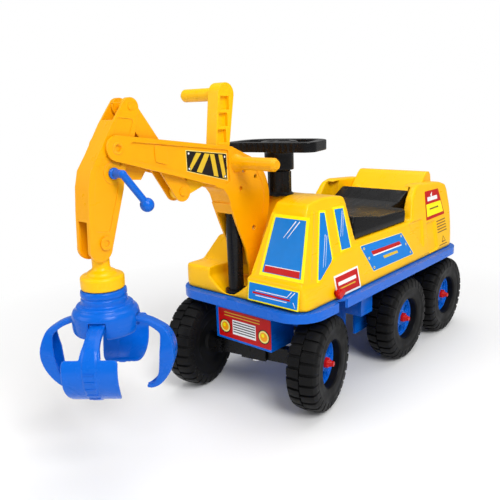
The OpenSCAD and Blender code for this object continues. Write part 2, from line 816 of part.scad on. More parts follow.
module claw_head() {
    color("#1668d8") at_claw() difference() {
        union() {
            translate([0, 0, tier_z - 2]) cylinder(h = collar_bottom - gap - tier_z + 2, r = 28.5);
            translate([0, 0, tier_z - 4]) cylinder(h = 4, r1 = 38, r2 = 31);
            translate([0, 0, head_bottom]) cylinder(h = tier_z - 4 - head_bottom, r = head_r);
        }
        translate([0, 0, head_bottom - 1]) cylinder(h = tier_z - 6 - head_bottom, r = head_r - wall);
        translate([0, 0, head_bottom]) cylinder(h = 44 + gap, r = 18);
        translate([0, 0, head_bottom]) cylinder(h = 60, r = 12 + run);
        for (a = FINGER_TURN) rotate([0, 0, a - 90]) {
            block([-finger_w / 2 - 0.6, 20, head_bottom - 1], [finger_w / 2 + 0.6, head_r - wall, tier_z - 7]);
            block([-finger_w / 2 - 0.6, 30, head_bottom - 1], [finger_w / 2 + 0.6, 60, tier_z - 13]);
            translate([0, finger_pin_r, finger_pin_z]) rotate([0, 90, 0]) translate([0, 0, -14])
                cylinder(h = 28, r = 2.5 + slip);
        }
    }
    // pin bosses inside the head
    color("#1668d8") at_claw() for (a = FINGER_TURN) rotate([0, 0, a - 90]) for (s = [-1, 1]) difference() {
        translate([s > 0 ? finger_w / 2 + 0.6 : -13.4, 29, 200])
            cube([13.4 - finger_w / 2 - 0.6, 10, tier_z - 205]);
        translate([0, finger_pin_r, finger_pin_z]) rotate([0, 90, 0]) translate([0, 0, -14])
            cylinder(h = 28, r = 2.5 + slip);
        difference() {
            cylinder(h = big, r = 60);
            cylinder(h = big, r = head_r - 1);
        }
    }
}

module finger_pins() {
    color("#b9bcc0") at_claw() for (a = FINGER_TURN) rotate([0, 0, a - 90])
        translate([0, finger_pin_r, finger_pin_z]) rotate([0, 90, 0]) translate([0, 0, -13])
            cylinder(h = 26, r = 2.5);
}

module claw_plunger() {
    color("#1668d8") at_claw() translate([0, 0, 198]) {
        cylinder(h = 3.5, r = 23);
        cylinder(h = 10, r = 6);
    }
}

module cord_lower() {
    color("#f2f2ee") at_claw() translate([0, 0, 212]) cylinder(h = 72, r = 0.9);
}

// blade ring of a finger, in [radius, z]
module blade_ring(centre, outer, thick) {
    difference() {
        translate(centre) circle(outer);
        translate(centre + [-2, 1]) circle(outer - thick);
    }
}

// the strip of a finger, drawn with its radius along +Y
module finger_strip(centre, outer, knee, under) {
    half = finger_w / 2;
    difference() {
        union() {
            x_rod([finger_pin_r, finger_pin_z], -half, half, 5.5);
            slab(-half, half)
                polygon([[22, 202.6], [22, 208], [34, 210], [46, 206.5], knee, under, [52, 194], [34, 201]]);
            intersection() {
                slab(-half, half) blade_ring(centre, outer, 8);
                slab(-half, half) polygon([centre, [60, 215], [110, 200], [110, 100], [centre[0] + 9, 100]]);
            }
        }
        x_rod([finger_pin_r, finger_pin_z], -half - 1, half + 1, 2.5 + run);
    }
}

module narrow_finger() {
    finger_strip(BLADE, blade_r, [77, 191.5], [66, 178]);
}

module wide_finger() {
    half = scoop_w / 2;
    finger_strip(SCOOP, scoop_r, [74, 190.5], [64, 178]);
    intersection() {
        slab(-half, half) blade_ring(SCOOP, scoop_r, 5);
        slab(-half, half) polygon([SCOOP, [110, 200], [110, 96], [58, 110]]);
    }
}

module finger_at(turn) {
    color("#1668d8") at_claw() rotate([0, 0, turn + claw_turn - 90]) children();
}

// ---------- assembly ----------

// everything is drawn about the front axle, then set about the middle of the toy
module put() {
    translate([0, -toy_mid_y, 0]) children();
}

put() chassis_tray();
put() body_shell();
put() backrest();
put() seat_lid();
put() seat_hinge_pin();
put() column_housing();
put() steering_wheel();
put() horn_cap();
put() steering_shaft();
put() drag_link();
put() kingpin();
put() front_axle_beam();
put() front_axle_rod();
put() translate([0, mid_y, axle_z]) axle_rod();  // mid_axle_rod
put() translate([0, rear_y, axle_z]) axle_rod();  // rear_axle_rod
put() at_wheel(0, 1) tyre();  // tyre_front_left
put() at_wheel(0, -1) tyre();  // tyre_front_right
put() at_wheel(1, 1) tyre();  // tyre_mid_left
put() at_wheel(1, -1) tyre();  // tyre_mid_right
put() at_wheel(2, 1) tyre();  // tyre_rear_left
put() at_wheel(2, -1) tyre();  // tyre_rear_right
put() at_wheel(0, 1) hub();  // hub_front_left
put() at_wheel(0, -1) hub();  // hub_front_right
put() at_wheel(1, 1) hub();  // hub_mid_left
put() at_wheel(1, -1) hub();  // hub_mid_right
put() at_wheel(2, 1) hub();  // hub_rear_left
put() at_wheel(2, -1) hub();  // hub_rear_right
put() at_wheel(0, 1) cap();  // cap_front_left
put() at_wheel(0, -1) cap();  // cap_front_right
put() at_wheel(1, 1) cap();  // cap_mid_left
put() at_wheel(1, -1) cap();  // cap_mid_right
put() at_wheel(2, 1) cap();  // cap_rear_left
put() at_wheel(2, -1) cap();  // cap_rear_right
put() lock_knob();  // lock_knob_left
put() mirror([1, 0, 0]) lock_knob();  // lock_knob_right
put() slew_post();
put() arm_left_shell();
put() arm_right_shell();
put() arm_screws();
put() stick_pivot_pin();
put() control_lever();
put() lever_pin();
put() push_link();
put() link_lower_pin();
put() link_upper_pin();
put() stick_left_half();
put() stick_right_half();
put() claw_crank();
put() cord_drum();
put() cord_upper();
put() hanger_pin();
put() claw_hanger();
put() claw_head();
put() finger_pins();
put() claw_plunger();
put() cord_lower();
put() finger_at(-45) wide_finger();  // claw_finger_front
put() finger_at(45) narrow_finger();  // claw_finger_left
put() finger_at(135) wide_finger();  // claw_finger_back
put() finger_at(225) narrow_finger();  // claw_finger_right
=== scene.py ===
"""Looks of the ride-on grabber truck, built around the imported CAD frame.

Shapes are drawn in millimetres in the row frame and scaled to metres when their mesh is made.
"""

import json
import math

import bmesh
import bpy
from mathutils import Matrix, Vector


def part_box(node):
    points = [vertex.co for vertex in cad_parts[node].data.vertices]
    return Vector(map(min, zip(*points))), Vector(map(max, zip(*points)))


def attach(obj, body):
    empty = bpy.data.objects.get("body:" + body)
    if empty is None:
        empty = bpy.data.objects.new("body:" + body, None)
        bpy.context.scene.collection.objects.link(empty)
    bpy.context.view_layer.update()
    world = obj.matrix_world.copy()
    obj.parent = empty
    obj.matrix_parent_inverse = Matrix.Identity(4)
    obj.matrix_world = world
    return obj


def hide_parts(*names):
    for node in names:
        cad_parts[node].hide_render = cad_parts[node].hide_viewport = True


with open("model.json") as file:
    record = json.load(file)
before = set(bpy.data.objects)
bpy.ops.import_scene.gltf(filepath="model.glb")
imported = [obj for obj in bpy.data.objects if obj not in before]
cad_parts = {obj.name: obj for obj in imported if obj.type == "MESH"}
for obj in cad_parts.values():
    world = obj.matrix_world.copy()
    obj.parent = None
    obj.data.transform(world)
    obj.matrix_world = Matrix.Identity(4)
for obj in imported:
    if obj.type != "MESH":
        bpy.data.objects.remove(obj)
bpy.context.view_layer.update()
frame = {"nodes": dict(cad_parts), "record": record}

MM = 0.001
WHEELS = ["front_left", "front_right", "mid_left", "mid_right", "rear_left", "rear_right"]


# ---------- places taken from the frame ----------

def box_mm(node):
    """Lowest and highest corner of a CAD node, in millimetres."""
    lo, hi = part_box(node)
    return lo / MM, hi / MM


def middle_mm(node):
    lo, hi = box_mm(node)
    return (lo + hi) / 2


# The drawing frame starts at the front axle's swivel; this is where that lies along the toy.
FRONT_AXLE_Y = middle_mm("kingpin").y


def place(point):
    """A point drawn about the front axle, in millimetres, as a point of the row frame in metres."""
    return Vector((point[0], point[1] + FRONT_AXLE_Y, point[2])) * MM


# ---------- materials ----------

WEAR_AND_HIGHLIGHT = 0.22                 # how much of its paler colour an edge shows, and how much paler that colour is; the paler edges are partly rubbed wear and partly a painted highlight
GRAIN = 0.00006             # depth of the mould's grain, m
GRAIN_SCALE = 900


def new_material(name):
    mat = bpy.data.materials.new(name)
    mat.use_nodes = True
    return mat, mat.node_tree.nodes, mat.node_tree.links


def rgba(colour, gain=1.0):
    return tuple(min(1.0, c * gain) for c in colour) + (1.0,)


def set_inputs(node, **values):
    """Sets inputs of a node; an underscore stands for each space in an input's name."""
    for key, value in values.items():
        node.inputs[key.replace("_", " ")].default_value = value


def add_noise(nodes, links, scale, detail=3.0, stretch=(1, 1, 1)):
    """Noise over the object's own coordinates; returns its factor socket."""
    coords = nodes.new("ShaderNodeTexCoord")
    mapping = nodes.new("ShaderNodeMapping")
    set_inputs(mapping, Scale=stretch)
    noise = nodes.new("ShaderNodeTexNoise")
    set_inputs(noise, Scale=scale, Detail=detail)
    links.new(coords.outputs["Object"], mapping.inputs["Vector"])
    links.new(mapping.outputs["Vector"], noise.inputs["Vector"])
    return noise.outputs["Fac"]


def add_range(nodes, links, source, low, high, out_low, out_high):
    """Maps a factor from one range to another."""
    node = nodes.new("ShaderNodeMapRange")
    set_inputs(node, From_Min=low, From_Max=high, To_Min=out_low, To_Max=out_high)
    links.new(source, node.inputs["Value"])
    return node.outputs["Result"]


def add_product(nodes, links, a, b):
    """Multiplies two factors."""
    node = nodes.new("ShaderNodeMath")
    node.operation = "MULTIPLY"
    links.new(a, node.inputs[0])
    links.new(b, node.inputs[1])
    return node.outputs["Value"]


def add_mix(nodes, links, factor, a, b, blend="MIX"):
    """Mixes two colours; a and b are colours or sockets."""
    node = nodes.new("ShaderNodeMix")
    node.data_type = "RGBA"
    node.blend_type = blend
    for key, value in (("Factor", factor), ("A", a), ("B", b)):
        socket = next(s for s in node.inputs if s.name == key and s.enabled)
        if hasattr(value, "default_value"):
            links.new(value, socket)
        else:
            socket.default_value = value
    return next(s for s in node.outputs if s.enabled)


def add_edge_mask(nodes, links, radius):
    """1 along convex and concave edges, 0 on flat faces."""
    bevel = nodes.new("ShaderNodeBevel")
    bevel.samples = 4
    set_inputs(bevel, Radius=radius)
    geometry = nodes.new("ShaderNodeNewGeometry")
    dot = nodes.new("ShaderNodeVectorMath")
    dot.operation = "DOT_PRODUCT"
    links.new(bevel.outputs["Normal"], dot.inputs[0])
    links.new(geometry.outputs["Normal"], dot.inputs[1])
    return add_range(nodes, links, dot.outputs["Value"], 1.0, 0.8, 0.0, 1.0)


def add_bump(nodes, links, height, distance):
    bump = nodes.new("ShaderNodeBump")
    set_inputs(bump, Distance=distance, Strength=0.5)
    links.new(height, bump.inputs["Height"])
    return bump.outputs["Normal"]


def plastic(name, colour, rough=0.32, edge=None, coat=0.06, shine=0.2):
    """Moulded plastic: mottled colour, edges paled in patches as rubbed wear and as a painted highlight, fine
    grain and handling scuffs.
    """
    mat, nodes, links = new_material(name)
    bsdf = nodes["Principled BSDF"]
    base = add_mix(nodes, links, add_noise(nodes, links, 18), rgba(colour, 0.93), rgba(colour, 1.06))
    # Edges are paled in patches: partly rubbed wear, partly a painted highlight.
    patchy = add_range(nodes, links, add_noise(nodes, links, 60), 0.4, 0.65, 0.0, WEAR_AND_HIGHLIGHT)
    wear_and_highlight = add_product(nodes, links, add_edge_mask(nodes, links, 0.0012), patchy)
    worn_and_lit = edge or tuple(c + (1 - c) * WEAR_AND_HIGHLIGHT for c in colour)
    base = add_mix(nodes, links, wear_and_highlight, base, rgba(worn_and_lit))
    links.new(base, bsdf.inputs["Base Color"])
    scuff = add_noise(nodes, links, 70, 6, (1, 0.15, 1))
    links.new(add_range(nodes, links, scuff, 0.35, 0.7, rough * 0.8, rough * 1.45), bsdf.inputs["Roughness"])
    links.new(add_bump(nodes, links, add_noise(nodes, links, GRAIN_SCALE, 2), GRAIN), bsdf.inputs["Normal"])
    set_inputs(bsdf, Specular_IOR_Level=shine, Coat_Weight=coat, Coat_Roughness=0.18)
    return mat


def rubber(name):
    """Black blow-moulded tyre plastic: matt, a little dusty, paler along its edges."""
    mat, nodes, links = new_material(name)
    bsdf = nodes["Principled BSDF"]
    dust = add_noise(nodes, links, 45, 6)
    edges = add_edge_mask(nodes, links, 0.0015)
    set_inputs(bsdf, Specular_IOR_Level=0.1)
    base = add_mix(nodes, links, dust, (0.003, 0.003, 0.0032, 1), (0.008, 0.008, 0.0084, 1))
    base = add_mix(nodes, links, add_range(nodes, links, edges, 0, 1, 0, 0.3), base, (0.03, 0.03, 0.031, 1))
    links.new(base, bsdf.inputs["Base Color"])
    links.new(add_range(nodes, links, dust, 0.3, 0.7, 0.36, 0.6), bsdf.inputs["Roughness"])
    links.new(add_bump(nodes, links, add_noise(nodes, links, 700, 4), 0.00012), bsdf.inputs["Normal"])
    return mat


def metal(name, colour):
    """Zinc-plated steel with fine turning marks."""
    mat, nodes, links = new_material(name)
    bsdf = nodes["Principled BSDF"]
    set_inputs(bsdf, Metallic=1.0)
    brushed = add_noise(nodes, links, 400, 4, (1, 8, 8))
    links.new(add_mix(nodes, links, brushed, rgba(colour, 0.85), rgba(colour, 1.1)), bsdf.inputs["Base Color"])
    links.new(add_range(nodes, links, brushed, 0.3, 0.7, 0.25, 0.45), bsdf.inputs["Roughness"])
    links.new(add_bump(nodes, links, brushed, 0.00005), bsdf.inputs["Normal"])
    return mat


def cord(name):
    """Braided nylon."""
    mat, nodes, links = new_material(name)
    bsdf = nodes["Principled BSDF"]
    braid = add_noise(nodes, links, 900, 2, (1, 1, 0.4))
    links.new(add_mix(nodes, links, braid, (0.6, 0.58, 0.52, 1), (0.9, 0.88, 0.84, 1)), bsdf.inputs["Base Color"])
    links.new(add_bump(nodes, links, braid, 0.0004), bsdf.inputs["Normal"])
    set_inputs(bsdf, Roughness=0.8)
    return mat


YELLOW = (1.0, 0.52, 0.0)
# The arm's deeper yellow, darkened further as painted shade.
DEEP_YELLOW_AND_SHADE = (0.90, 0.385, 0.0)
BLUE = (0.0, 0.118, 0.60)
BLACK = (0.005, 0.005, 0.0055)
RED = (0.52, 0.004, 0.004)
STEEL = (0.62, 0.63, 0.65)
MATERIAL = {
    "body_yellow": plastic("body_yellow", YELLOW),
    "arm_yellow": plastic("arm_yellow", DEEP_YELLOW_AND_SHADE),
    "blue_plastic": plastic("blue_plastic", BLUE, rough=0.24, coat=0.07),
    # Black plastic's edges are paled to dark grey: partly rubbed wear, partly a painted highlight.
    "black_plastic": plastic("black_plastic", BLACK, rough=0.26, edge=(0.03, 0.03, 0.03), shine=0.16),
    "tyre": rubber("tyre"),
    "red_plastic": plastic("red_plastic", RED),
    "steel": metal("steel", STEEL),
    "cord_white": cord("cord_white"),
}
SLOT_OF = {p["node"]: p["material_slot"] for p in frame["record"]["subparts"]}
BODY_OF = {n: b for b, members in frame["record"]["behaviour"]["bodies"].items() for n in members}


def dress_cad(node):
    """Gives a CAD node that stays its procedural material."""
    ob = frame["nodes"][node]
    ob.data.materials.clear()
    ob.data.materials.append(MATERIAL[SLOT_OF[node]])


for node_name in frame["nodes"]:
    dress_cad(node_name)


# ---------- mesh helpers ----------

UP = Vector((0, 0, 1))


def new_piece(name, data):
    """A new object in the scene; data is a mesh, a light or a camera."""
    ob = bpy.data.objects.new(name, data)
    bpy.context.scene.collection.objects.link(ob)
    return ob


def turned(degrees):
    """Level directions along and across a heading, which is counted from the row frame's +X."""
    a = math.radians(degrees)
    return Vector((math.cos(a), math.sin(a), 0)), Vector((-math.sin(a), math.cos(a), 0))


def ring_faces(rings, n, closed=True):
    """Quads between neighbouring rings of n points, and from the last ring to the first if closed."""
    return [(i * n + j, i * n + (j + 1) % n, (i + 1) % rings * n + (j + 1) % n, (i + 1) % rings * n + j)
            for i in range(rings if closed else rings - 1) for j in range(n)]


def tube_faces(n):
    """Faces of a closed shape whose points are the n of one end, then the n of the other."""
    faces = [tuple(range(n)), tuple(range(2 * n - 1, n - 1, -1))]
    return faces + [(i, (i + 1) % n, n + (i + 1) % n, n + i) for i in range(n)]


def solid(name, points, faces, materials=()):
    """A closed mesh from points in drawing millimetres, with its faces turned outwards."""
    mesh = bpy.data.meshes.new(name)
    mesh.from_pydata([place(p) for p in points], [], faces)
    for mat in materials:
        mesh.materials.append(mat)
    bm = bmesh.new()
    bm.from_mesh(mesh)
    bmesh.ops.recalc_face_normals(bm, faces=bm.faces)
    bm.to_mesh(mesh)
    bm.free()
    return new_piece(name, mesh)


def rounded(corners, radius, steps=5):
    """An outline with its corners rounded; a corner may carry its own radius as a third number."""
    out = []
    count = len(corners)
    for i, corner in enumerate(corners):
        here = Vector(corner[:2])
        before = (Vector(corners[i - 1][:2]) - here)
        after = (Vector(corners[(i + 1) % count][:2]) - here)
        bend = before.angle(after)
        own = corner[2] if len(corner) > 2 else radius
        reach = min(own / math.tan(bend / 2), before.length * 0.48, after.length * 0.48)
        if reach < 0.05 or bend > math.radians(172):
            out.append(tuple(here))
            continue
        start = here + before.normalized() * reach
        end = here + after.normalized() * reach
        for k in range(steps + 1):
            t = k / steps
            out.append(tuple((1 - t) ** 2 * start + 2 * t * (1 - t) * here + t ** 2 * end))
    return out


def prism(name, outline, axis, low, high):
    """An outline extruded along x, y or z."""
    def point(p, t):
        return {"x": (t, p[0], p[1]), "y": (p[0], t, p[1]), "z": (p[0], p[1], t)}[axis]
    points = [point(p, t) for t in (low, high) for p in outline]
    return solid(name, points, tube_faces(len(outline)))


def rod(name, start, end, radius, end_radius=None, sides=32):
    """A round bar or cone between two points."""
    start, end = Vector(start), Vector(end)
    way = (end - start).normalized()
    side = way.orthogonal().normalized()
    other = way.cross(side)
    last = radius if end_radius is None else end_radius
    points = []
    for centre, r in ((start, radius), (end, last)):
        for k in range(sides):
            a = 2 * math.pi * k / sides
            points.append(centre + (side * math.cos(a) + other * math.sin(a)) * r)
    return solid(name, points, tube_faces(sides))


def revolved(name, profile, centre, way, sides=96):
    """A closed [radius, along] profile turned about an axis."""
    centre, way = Vector(centre), Vector(way).normalized()
    side = way.orthogonal().normalized()
    other = way.cross(side)
    points = []
    for k in range(sides):
        a = 2 * math.pi * k / sides
        out = side * math.cos(a) + other * math.sin(a)
        points += [centre + out * r + way * t for r, t in profile]
    return solid(name, points, ring_faces(sides, len(profile)))


def smooth_shade(ob):
    ob.data.polygons.foreach_set("use_smooth", [True] * len(ob.data.polygons))
    return ob


def bake(ob):
    """Replaces an object's mesh with its mesh after modifiers."""
    graph = bpy.context.evaluated_depsgraph_get()
    mesh = bpy.data.meshes.new_from_object(ob.evaluated_get(graph))
    old = ob.data
    ob.modifiers.clear()
    ob.data = mesh
    mesh.name = old.name
    return ob


def combine(ob, others, operation="UNION"):
    """Adds, cuts or keeps the overlap with other solids, which are used up."""
    for other in others:
        mod = ob.modifiers.new("boolean", "BOOLEAN")
        mod.operation = operation
        mod.solver = "EXACT"
        mod.object = other
    bake(ob)
    for other in others:
        bpy.data.objects.remove(other)
    return ob


def bevelled(ob, width, segments=3, angle=35):
    """Rounds the edges of a solid by real geometry."""
    mod = ob.modifiers.new("bevel", "BEVEL")
    mod.width = width * MM
    mod.segments = segments
    mod.limit_method = "ANGLE"
    mod.angle_limit = math.radians(angle)
    mod.use_clamp_overlap = True
    mod.harden_normals = True
    smooth_shade(ob)
    return ob


def moulded(ob, voxel, rounds):
    """Turns a solid into one even mesh with soft moulded edges."""
    mod = ob.modifiers.new("remesh", "REMESH")
    mod.mode = "VOXEL"
    mod.voxel_size = voxel * MM
    mod.use_smooth_shade = True
    mod = ob.modifiers.new("smooth", "SMOOTH")
    mod.factor = 0.5
    mod.iterations = rounds
    return smooth_shade(bake(ob))


def cad_copy(node, name):
    """A cleaned copy of a CAD node's mesh, to be worked on."""
    source = frame["nodes"][node]
    mesh = source.data.copy()
    mesh.name = name
    bm = bmesh.new()
    bm.from_mesh(mesh)
    bmesh.ops.remove_doubles(bm, verts=bm.verts, dist=0.00001)
    bmesh.ops.dissolve_limit(bm, angle_limit=math.radians(0.8), verts=bm.verts, edges=bm.edges)
    bmesh.ops.recalc_face_normals(bm, faces=bm.faces)
    bm.to_mesh(mesh)
    bm.free()
    for attribute in ("custom_normal", "sharp_edge", "sharp_face"):
        if attribute in mesh.attributes:
            mesh.attributes.remove(mesh.attributes[attribute])
    return new_piece(name, mesh)


def finish_piece(ob, node):
    """Sets a piece's material, hides the CAD node it stands for and hangs it on the body it rides on."""
    if not ob.data.materials:
        ob.data.materials.append(MATERIAL[SLOT_OF[node]])
    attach(ob, BODY_OF[node])
    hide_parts(node)
    return ob


def rounded_cad(node, width, segments=3, angle=35):
    """The CAD part with rounded moulded edges."""
    ob = bevelled(cad_copy(node, node + "_moulding"), width, segments, angle)
    finish_piece(ob, node)


# ---------- printed labels ----------

def sticker(name, colour, rough=0.3):
    """Printed film: ink a little uneven, satin."""
    mat, nodes, links = new_material(name)
    bsdf = nodes["Principled BSDF"]
    ink = add_noise(nodes, links, 120, 4)
    base = add_mix(nodes, links, ink, rgba(colour, 0.92), rgba(colour, 1.06))
    links.new(base, bsdf.inputs["Base Color"])
    links.new(add_range(nodes, links, add_noise(nodes, links, 40, 5), 0.3, 0.7, rough, rough + 0.12),
              bsdf.inputs["Roughness"])
    links.new(add_bump(nodes, links, add_noise(nodes, links, 260, 2), 0.00004), bsdf.inputs["Normal"])
    set_inputs(bsdf, Specular_IOR_Level=0.2, Coat_Weight=0.04)
    return mat


PRINTS = ["lemon", "window", "red", "white", "black", "gold", "amber", "cream", "sky", "brown"]
PRINT_COLOUR = {
    "lemon": (1.0, 0.86, 0.0), "window": (0.0, 0.19, 0.62), "red": (0.52, 0.002, 0.002),
    "white": (0.86, 0.86, 0.86), "black": (0.008, 0.008, 0.009), "gold": (0.72, 0.48, 0.03),
    "amber": (0.95, 0.36, 0.0), "cream": (0.93, 0.78, 0.22), "sky": (0.0, 0.20, 0.66),
    "brown": (0.20, 0.09, 0.01)}
PRINT = [sticker("print_" + n, PRINT_COLOUR[n]) for n in PRINTS]
FILM = 0.5      # how deep a label's film reaches into the surface, mm


def label(name, body, to_space, layers):
    """A printed label built up of thin layers: (outline, ink, height above the surface).

    to_space(point, height) gives the place of a label point at a height above the surface, in millimetres.
    """
    points, faces, inks = [], [], []
    for outline, ink, height in layers:
        start, n = len(points), len(outline)
        points += [to_space(p, -FILM) for p in outline] + [to_space(p, height) for p in outline]
        faces += [tuple(range(start + n - 1, start - 1, -1)), tuple(range(start + n, start + 2 * n))]
        faces += [(start + i, start + (i + 1) % n, start + n + (i + 1) % n, start + n + i) for i in range(n)]
        inks += [PRINTS.index(ink)] * (n + 2)
    ob = solid(name, points, faces, PRINT)
    ob.data.polygons.foreach_set("material_index", inks)
    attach(ob, body)
    return ob


def disc(centre, radius, sides=28):
    return [(centre[0] + radius * math.cos(2 * math.pi * k / sides),
             centre[1] + radius * math.sin(2 * math.pi * k / sides)) for k in range(sides)]


def band(start, end, width, end_width=None):
    """A straight stroke between two points, with its own width at each end."""
    start, end = Vector(start), Vector(end)
    side = (end - start).normalized().orthogonal()
    a, b = side * width / 2, side * (width if end_width is None else end_width) / 2
    return [tuple(p) for p in (start + a, end + b, end - b, start - a)]


def shrunk(outline, inset):
    """A convex outline drawn in by a constant margin."""
    out = []
    centre = sum((Vector(p) for p in outline), Vector((0, 0))) / len(outline)
    lines = []
    for i, p in enumerate(outline):
        a, b = Vector(p), Vector(outline[(i + 1) % len(outline)])
        n = (b - a).orthogonal().normalized()
        if n.dot(centre - a) < 0:
            n = -n
        lines.append((a + n * inset, (b - a).normalized()))
    for i in range(len(outline)):
        (p, d), (q, e) = lines[i - 1], lines[i]
        cross = d.x * e.y - d.y * e.x
        t = ((q - p).x * e.y - (q - p).y * e.x) / cross
        out.append(tuple(p + d * t))
    return out


def inside(quad, u, v):
    """A point of a four-cornered outline by its shares across and down."""
    a, b, c, d = (Vector(p) for p in quad)
    return tuple((a * (1 - u) + b * u) * (1 - v) + (d * (1 - u) + c * u) * v)


def strip(quad, u0, u1, v0, v1):
    return [inside(quad, u0, v0), inside(quad, u1, v0), inside(quad, u1, v1), inside(quad, u0, v1)]


# ---------- body ----------

RIM_TOP, ROOF_Z, SILL_Z, DECK_Z, SHELF_Z = 171.0, 320.0, 245.0, 210.0, 262.0
FOOT_X, ROOF_X = 124.0, 100.0
BODY_FRONT, BODY_REAR = -38.0, 478.0
LEAN = (FOOT_X - ROOF_X) / (ROOF_Z - RIM_TOP)
CAB_INSET = 1.6             # how far the cab's side lies behind the rest of the body's side
CAB_IN = 20.0               # the cab's inner side
WIDE = 300                  # beyond the body on every side
COLUMN_Y = 68.0
ARM_X, POST_Y = -22.0, -19.0
DECK_LINE = [(-43, RIM_TOP), (-38, DECK_Z), (2, DECK_Z), (37, SILL_Z), (372, SILL_Z), (378, SHELF_Z),
             (470, SHELF_Z), (BODY_REAR, RIM_TOP)]
CAB_LINE = [(-43, RIM_TOP), (-38, 206), (-33, DECK_Z), (0, 305), (8, 317.5), (28, 321), (50, 322.5),
            (75, 321), (98, 318), (103, 312), (117, SILL_Z), (117, RIM_TOP)]
CONSOLE_LINE = [(56, RIM_TOP), (56, 312), (60, 318), (98, 318), (112, SILL_Z), (112, RIM_TOP)]
REAR_LINE = [(300, RIM_TOP), (304, SILL_Z), (316, 282), (332, 300), (352, 305), (440, 299), (462, 292),
             (467, 280), (BODY_REAR, RIM_TOP)]
WINDSHIELD_SLOPE = 33 / 95
NOSE_SLOPE = 5 / 35
CAB_SIDE_EDGE = [(-60, 211), (4, 203), (57, 234), (125, 238), (125, 340), (-60, 340)]


def side_point(point, height, side=1):
    """A (y, z) point on the body's leaning side, a height above it."""
    return (side * (FOOT_X - LEAN * (point[1] - RIM_TOP) + height), point[0], point[1])


def side_slab(name, outline, low, high, side=1):
    """A slab along the leaning side of the body, between two heights above it."""
    points = [side_point(p, height, side) for height in (low, high) for p in outline]
    return solid(name, points, tube_faces(len(outline)))


def body_block():
    """The body as one closed block with its true outlines."""
    block = prism("body_moulding", DECK_LINE, "x", -WIDE, WIDE)
    cab = prism("cab", CAB_LINE, "x", 0, WIDE)
    lean = [(CAB_IN - 12, 144), (40, ROOF_Z), (42, ROOF_Z + 20), (WIDE, ROOF_Z + 20), (WIDE, 144)]
    combine(cab, [prism("cab_lean", lean, "y", -WIDE, 2 * WIDE)], "INTERSECT")
    parts = [cab, prism("console", CONSOLE_LINE, "x", -45, 45)]
    parts += [prism("rear_block", REAR_LINE, "x", 76, WIDE), prism("rear_block", REAR_LINE, "x", -WIDE, -76)]
    combine(block, parts)
    plan = rounded([(-FOOT_X, BODY_FRONT, 22), (FOOT_X, BODY_FRONT, 22), (FOOT_X, BODY_REAR, 40),
                    (-FOOT_X, BODY_REAR, 40)], 22, 10)
    reach = LEAN * 20
    sides = [(-FOOT_X - reach, RIM_TOP - 20), (FOOT_X + reach, RIM_TOP - 20), (ROOF_X - reach, ROOF_Z + 20),
             (-ROOF_X + reach, ROOF_Z + 20)]
    space = prism("body_space", plan, "z", RIM_TOP, ROOF_Z + 10)
    combine(space, [prism("body_sides", sides, "y", -WIDE, 3 * WIDE)], "INTERSECT")
    return combine(block, [space], "INTERSECT")


def body_cuts():
    """Recesses and openings of the body."""
    cuts = [side_slab("cab_side", CAB_SIDE_EDGE, -CAB_INSET, 9)]
    for side in (1, -1):
        cuts.append(side_slab("corner_recess", rounded([(290, 242), (346, 242), (338, 190)], 3), -3.5, 9, side))
        cuts.append(side_slab("panel_recess", rounded([(360, 231), (396, 231), (396, 176), (357, 176)], 4),
                              -4, 9, side))
        cuts.append(rod("knob_room", (side * 107, 45, 181), (side * 117.5, 45, 181), 11))
        cuts.append(rod("knob_bore", (side * 107, 45, 181), (side * 140, 45, 181), 5.2))
    cuts.append(prism("bin", rounded([(-92, 130), (92, 130), (92, 356), (-92, 356)], 12), "z", 182, 300))
    cuts.append(rod("shaft_tunnel", (0, COLUMN_Y, 150), (0, COLUMN_Y, 340), 9))
    return cuts


def body_well():
    """The round well in front, open to the deck's front face, that the arm's tower turns in."""
    foot, middle, top = RIM_TOP + 3, RIM_TOP + 25, SILL_Z + 40
    well = revolved("well", [(0.01, foot), (18.5, foot), (43.2, middle), (43.2, top), (0.01, top)],
                    (ARM_X, POST_Y, 0), UP)
    keep = prism("well_side", [(-200, -200), (CAB_IN - 1, -200), (CAB_IN - 1, 200), (-200, 200)], "z", 100, 400)
    combine(well, [keep], "INTERSECT")
    return [well, rod("post_hole", (ARM_X, POST_Y, 150), (ARM_X, POST_Y, 240), 11.5)]


def body_ribs():
    """Raised edges of the cab's pillars and the small tabs at the rear corners."""
    ribs = [rod("rib", (113.0, -26.5, 214), (98, 4.5, 304), 3.1, sides=12),
            rod("rib", (115.2, -13, 212), (100.2, 16, 306), 2.4, sides=12),
            rod("rib", (24, -32.5, 213), (42, -1, 304), 2.1, sides=12)]
    for side in (1, -1):
        ribs.append(prism("tab", [(96 * side, 462), (108 * side, 462), (108 * side, 479), (96 * side, 479)],
                          "z", RIM_TOP, 196))
    return ribs


def build_body():
    """The yellow body: softened as a block, then opened up, ribbed and softened again."""
    body = body_block()
    moulded(body, 2.0, 22)
    combine(body, body_cuts() + body_well(), "DIFFERENCE")
    combine(body, body_ribs())
    moulded(body, 1.7, 4)
    finish_piece(body, "body_shell")


def glints(quad, places, ink="white"):
    """Slanted reflections printed on a window; places are (u at top, u at bottom, v top, v bottom, width)."""
    return [(band(inside(quad, u0, v0), inside(quad, u1, v1), w, w * 0.4), ink, 0.62)
            for u0, u1, v0, v1, w in places]


def bars(quad, rows):
    """Printed bars; rows are (u from, u to, v from, v to, ink, height)."""
    return [(strip(quad, *row[:4]), row[4], row[5]) for row in rows]


def framed(quad, border, glass="window", edge="lemon"):
    """A filled field in a border of another ink."""
    return [(quad, edge, 0.4), (shrunk(quad, border), glass, 0.52)]


def windshield_point(point, height):
    """An (x, z) point on the windshield's slope."""
    return (point[0], -33 + (point[1] - DECK_Z) * WINDSHIELD_SLOPE - height, point[1])


def nose_point(point, height):
    """An (x, z) point on the lower front face."""
    return (point[0], -43 + (point[1] - RIM_TOP) * NOSE_SLOPE - height, point[1])


def cab_side_point(point, height):
    return side_point(point, height - CAB_INSET)


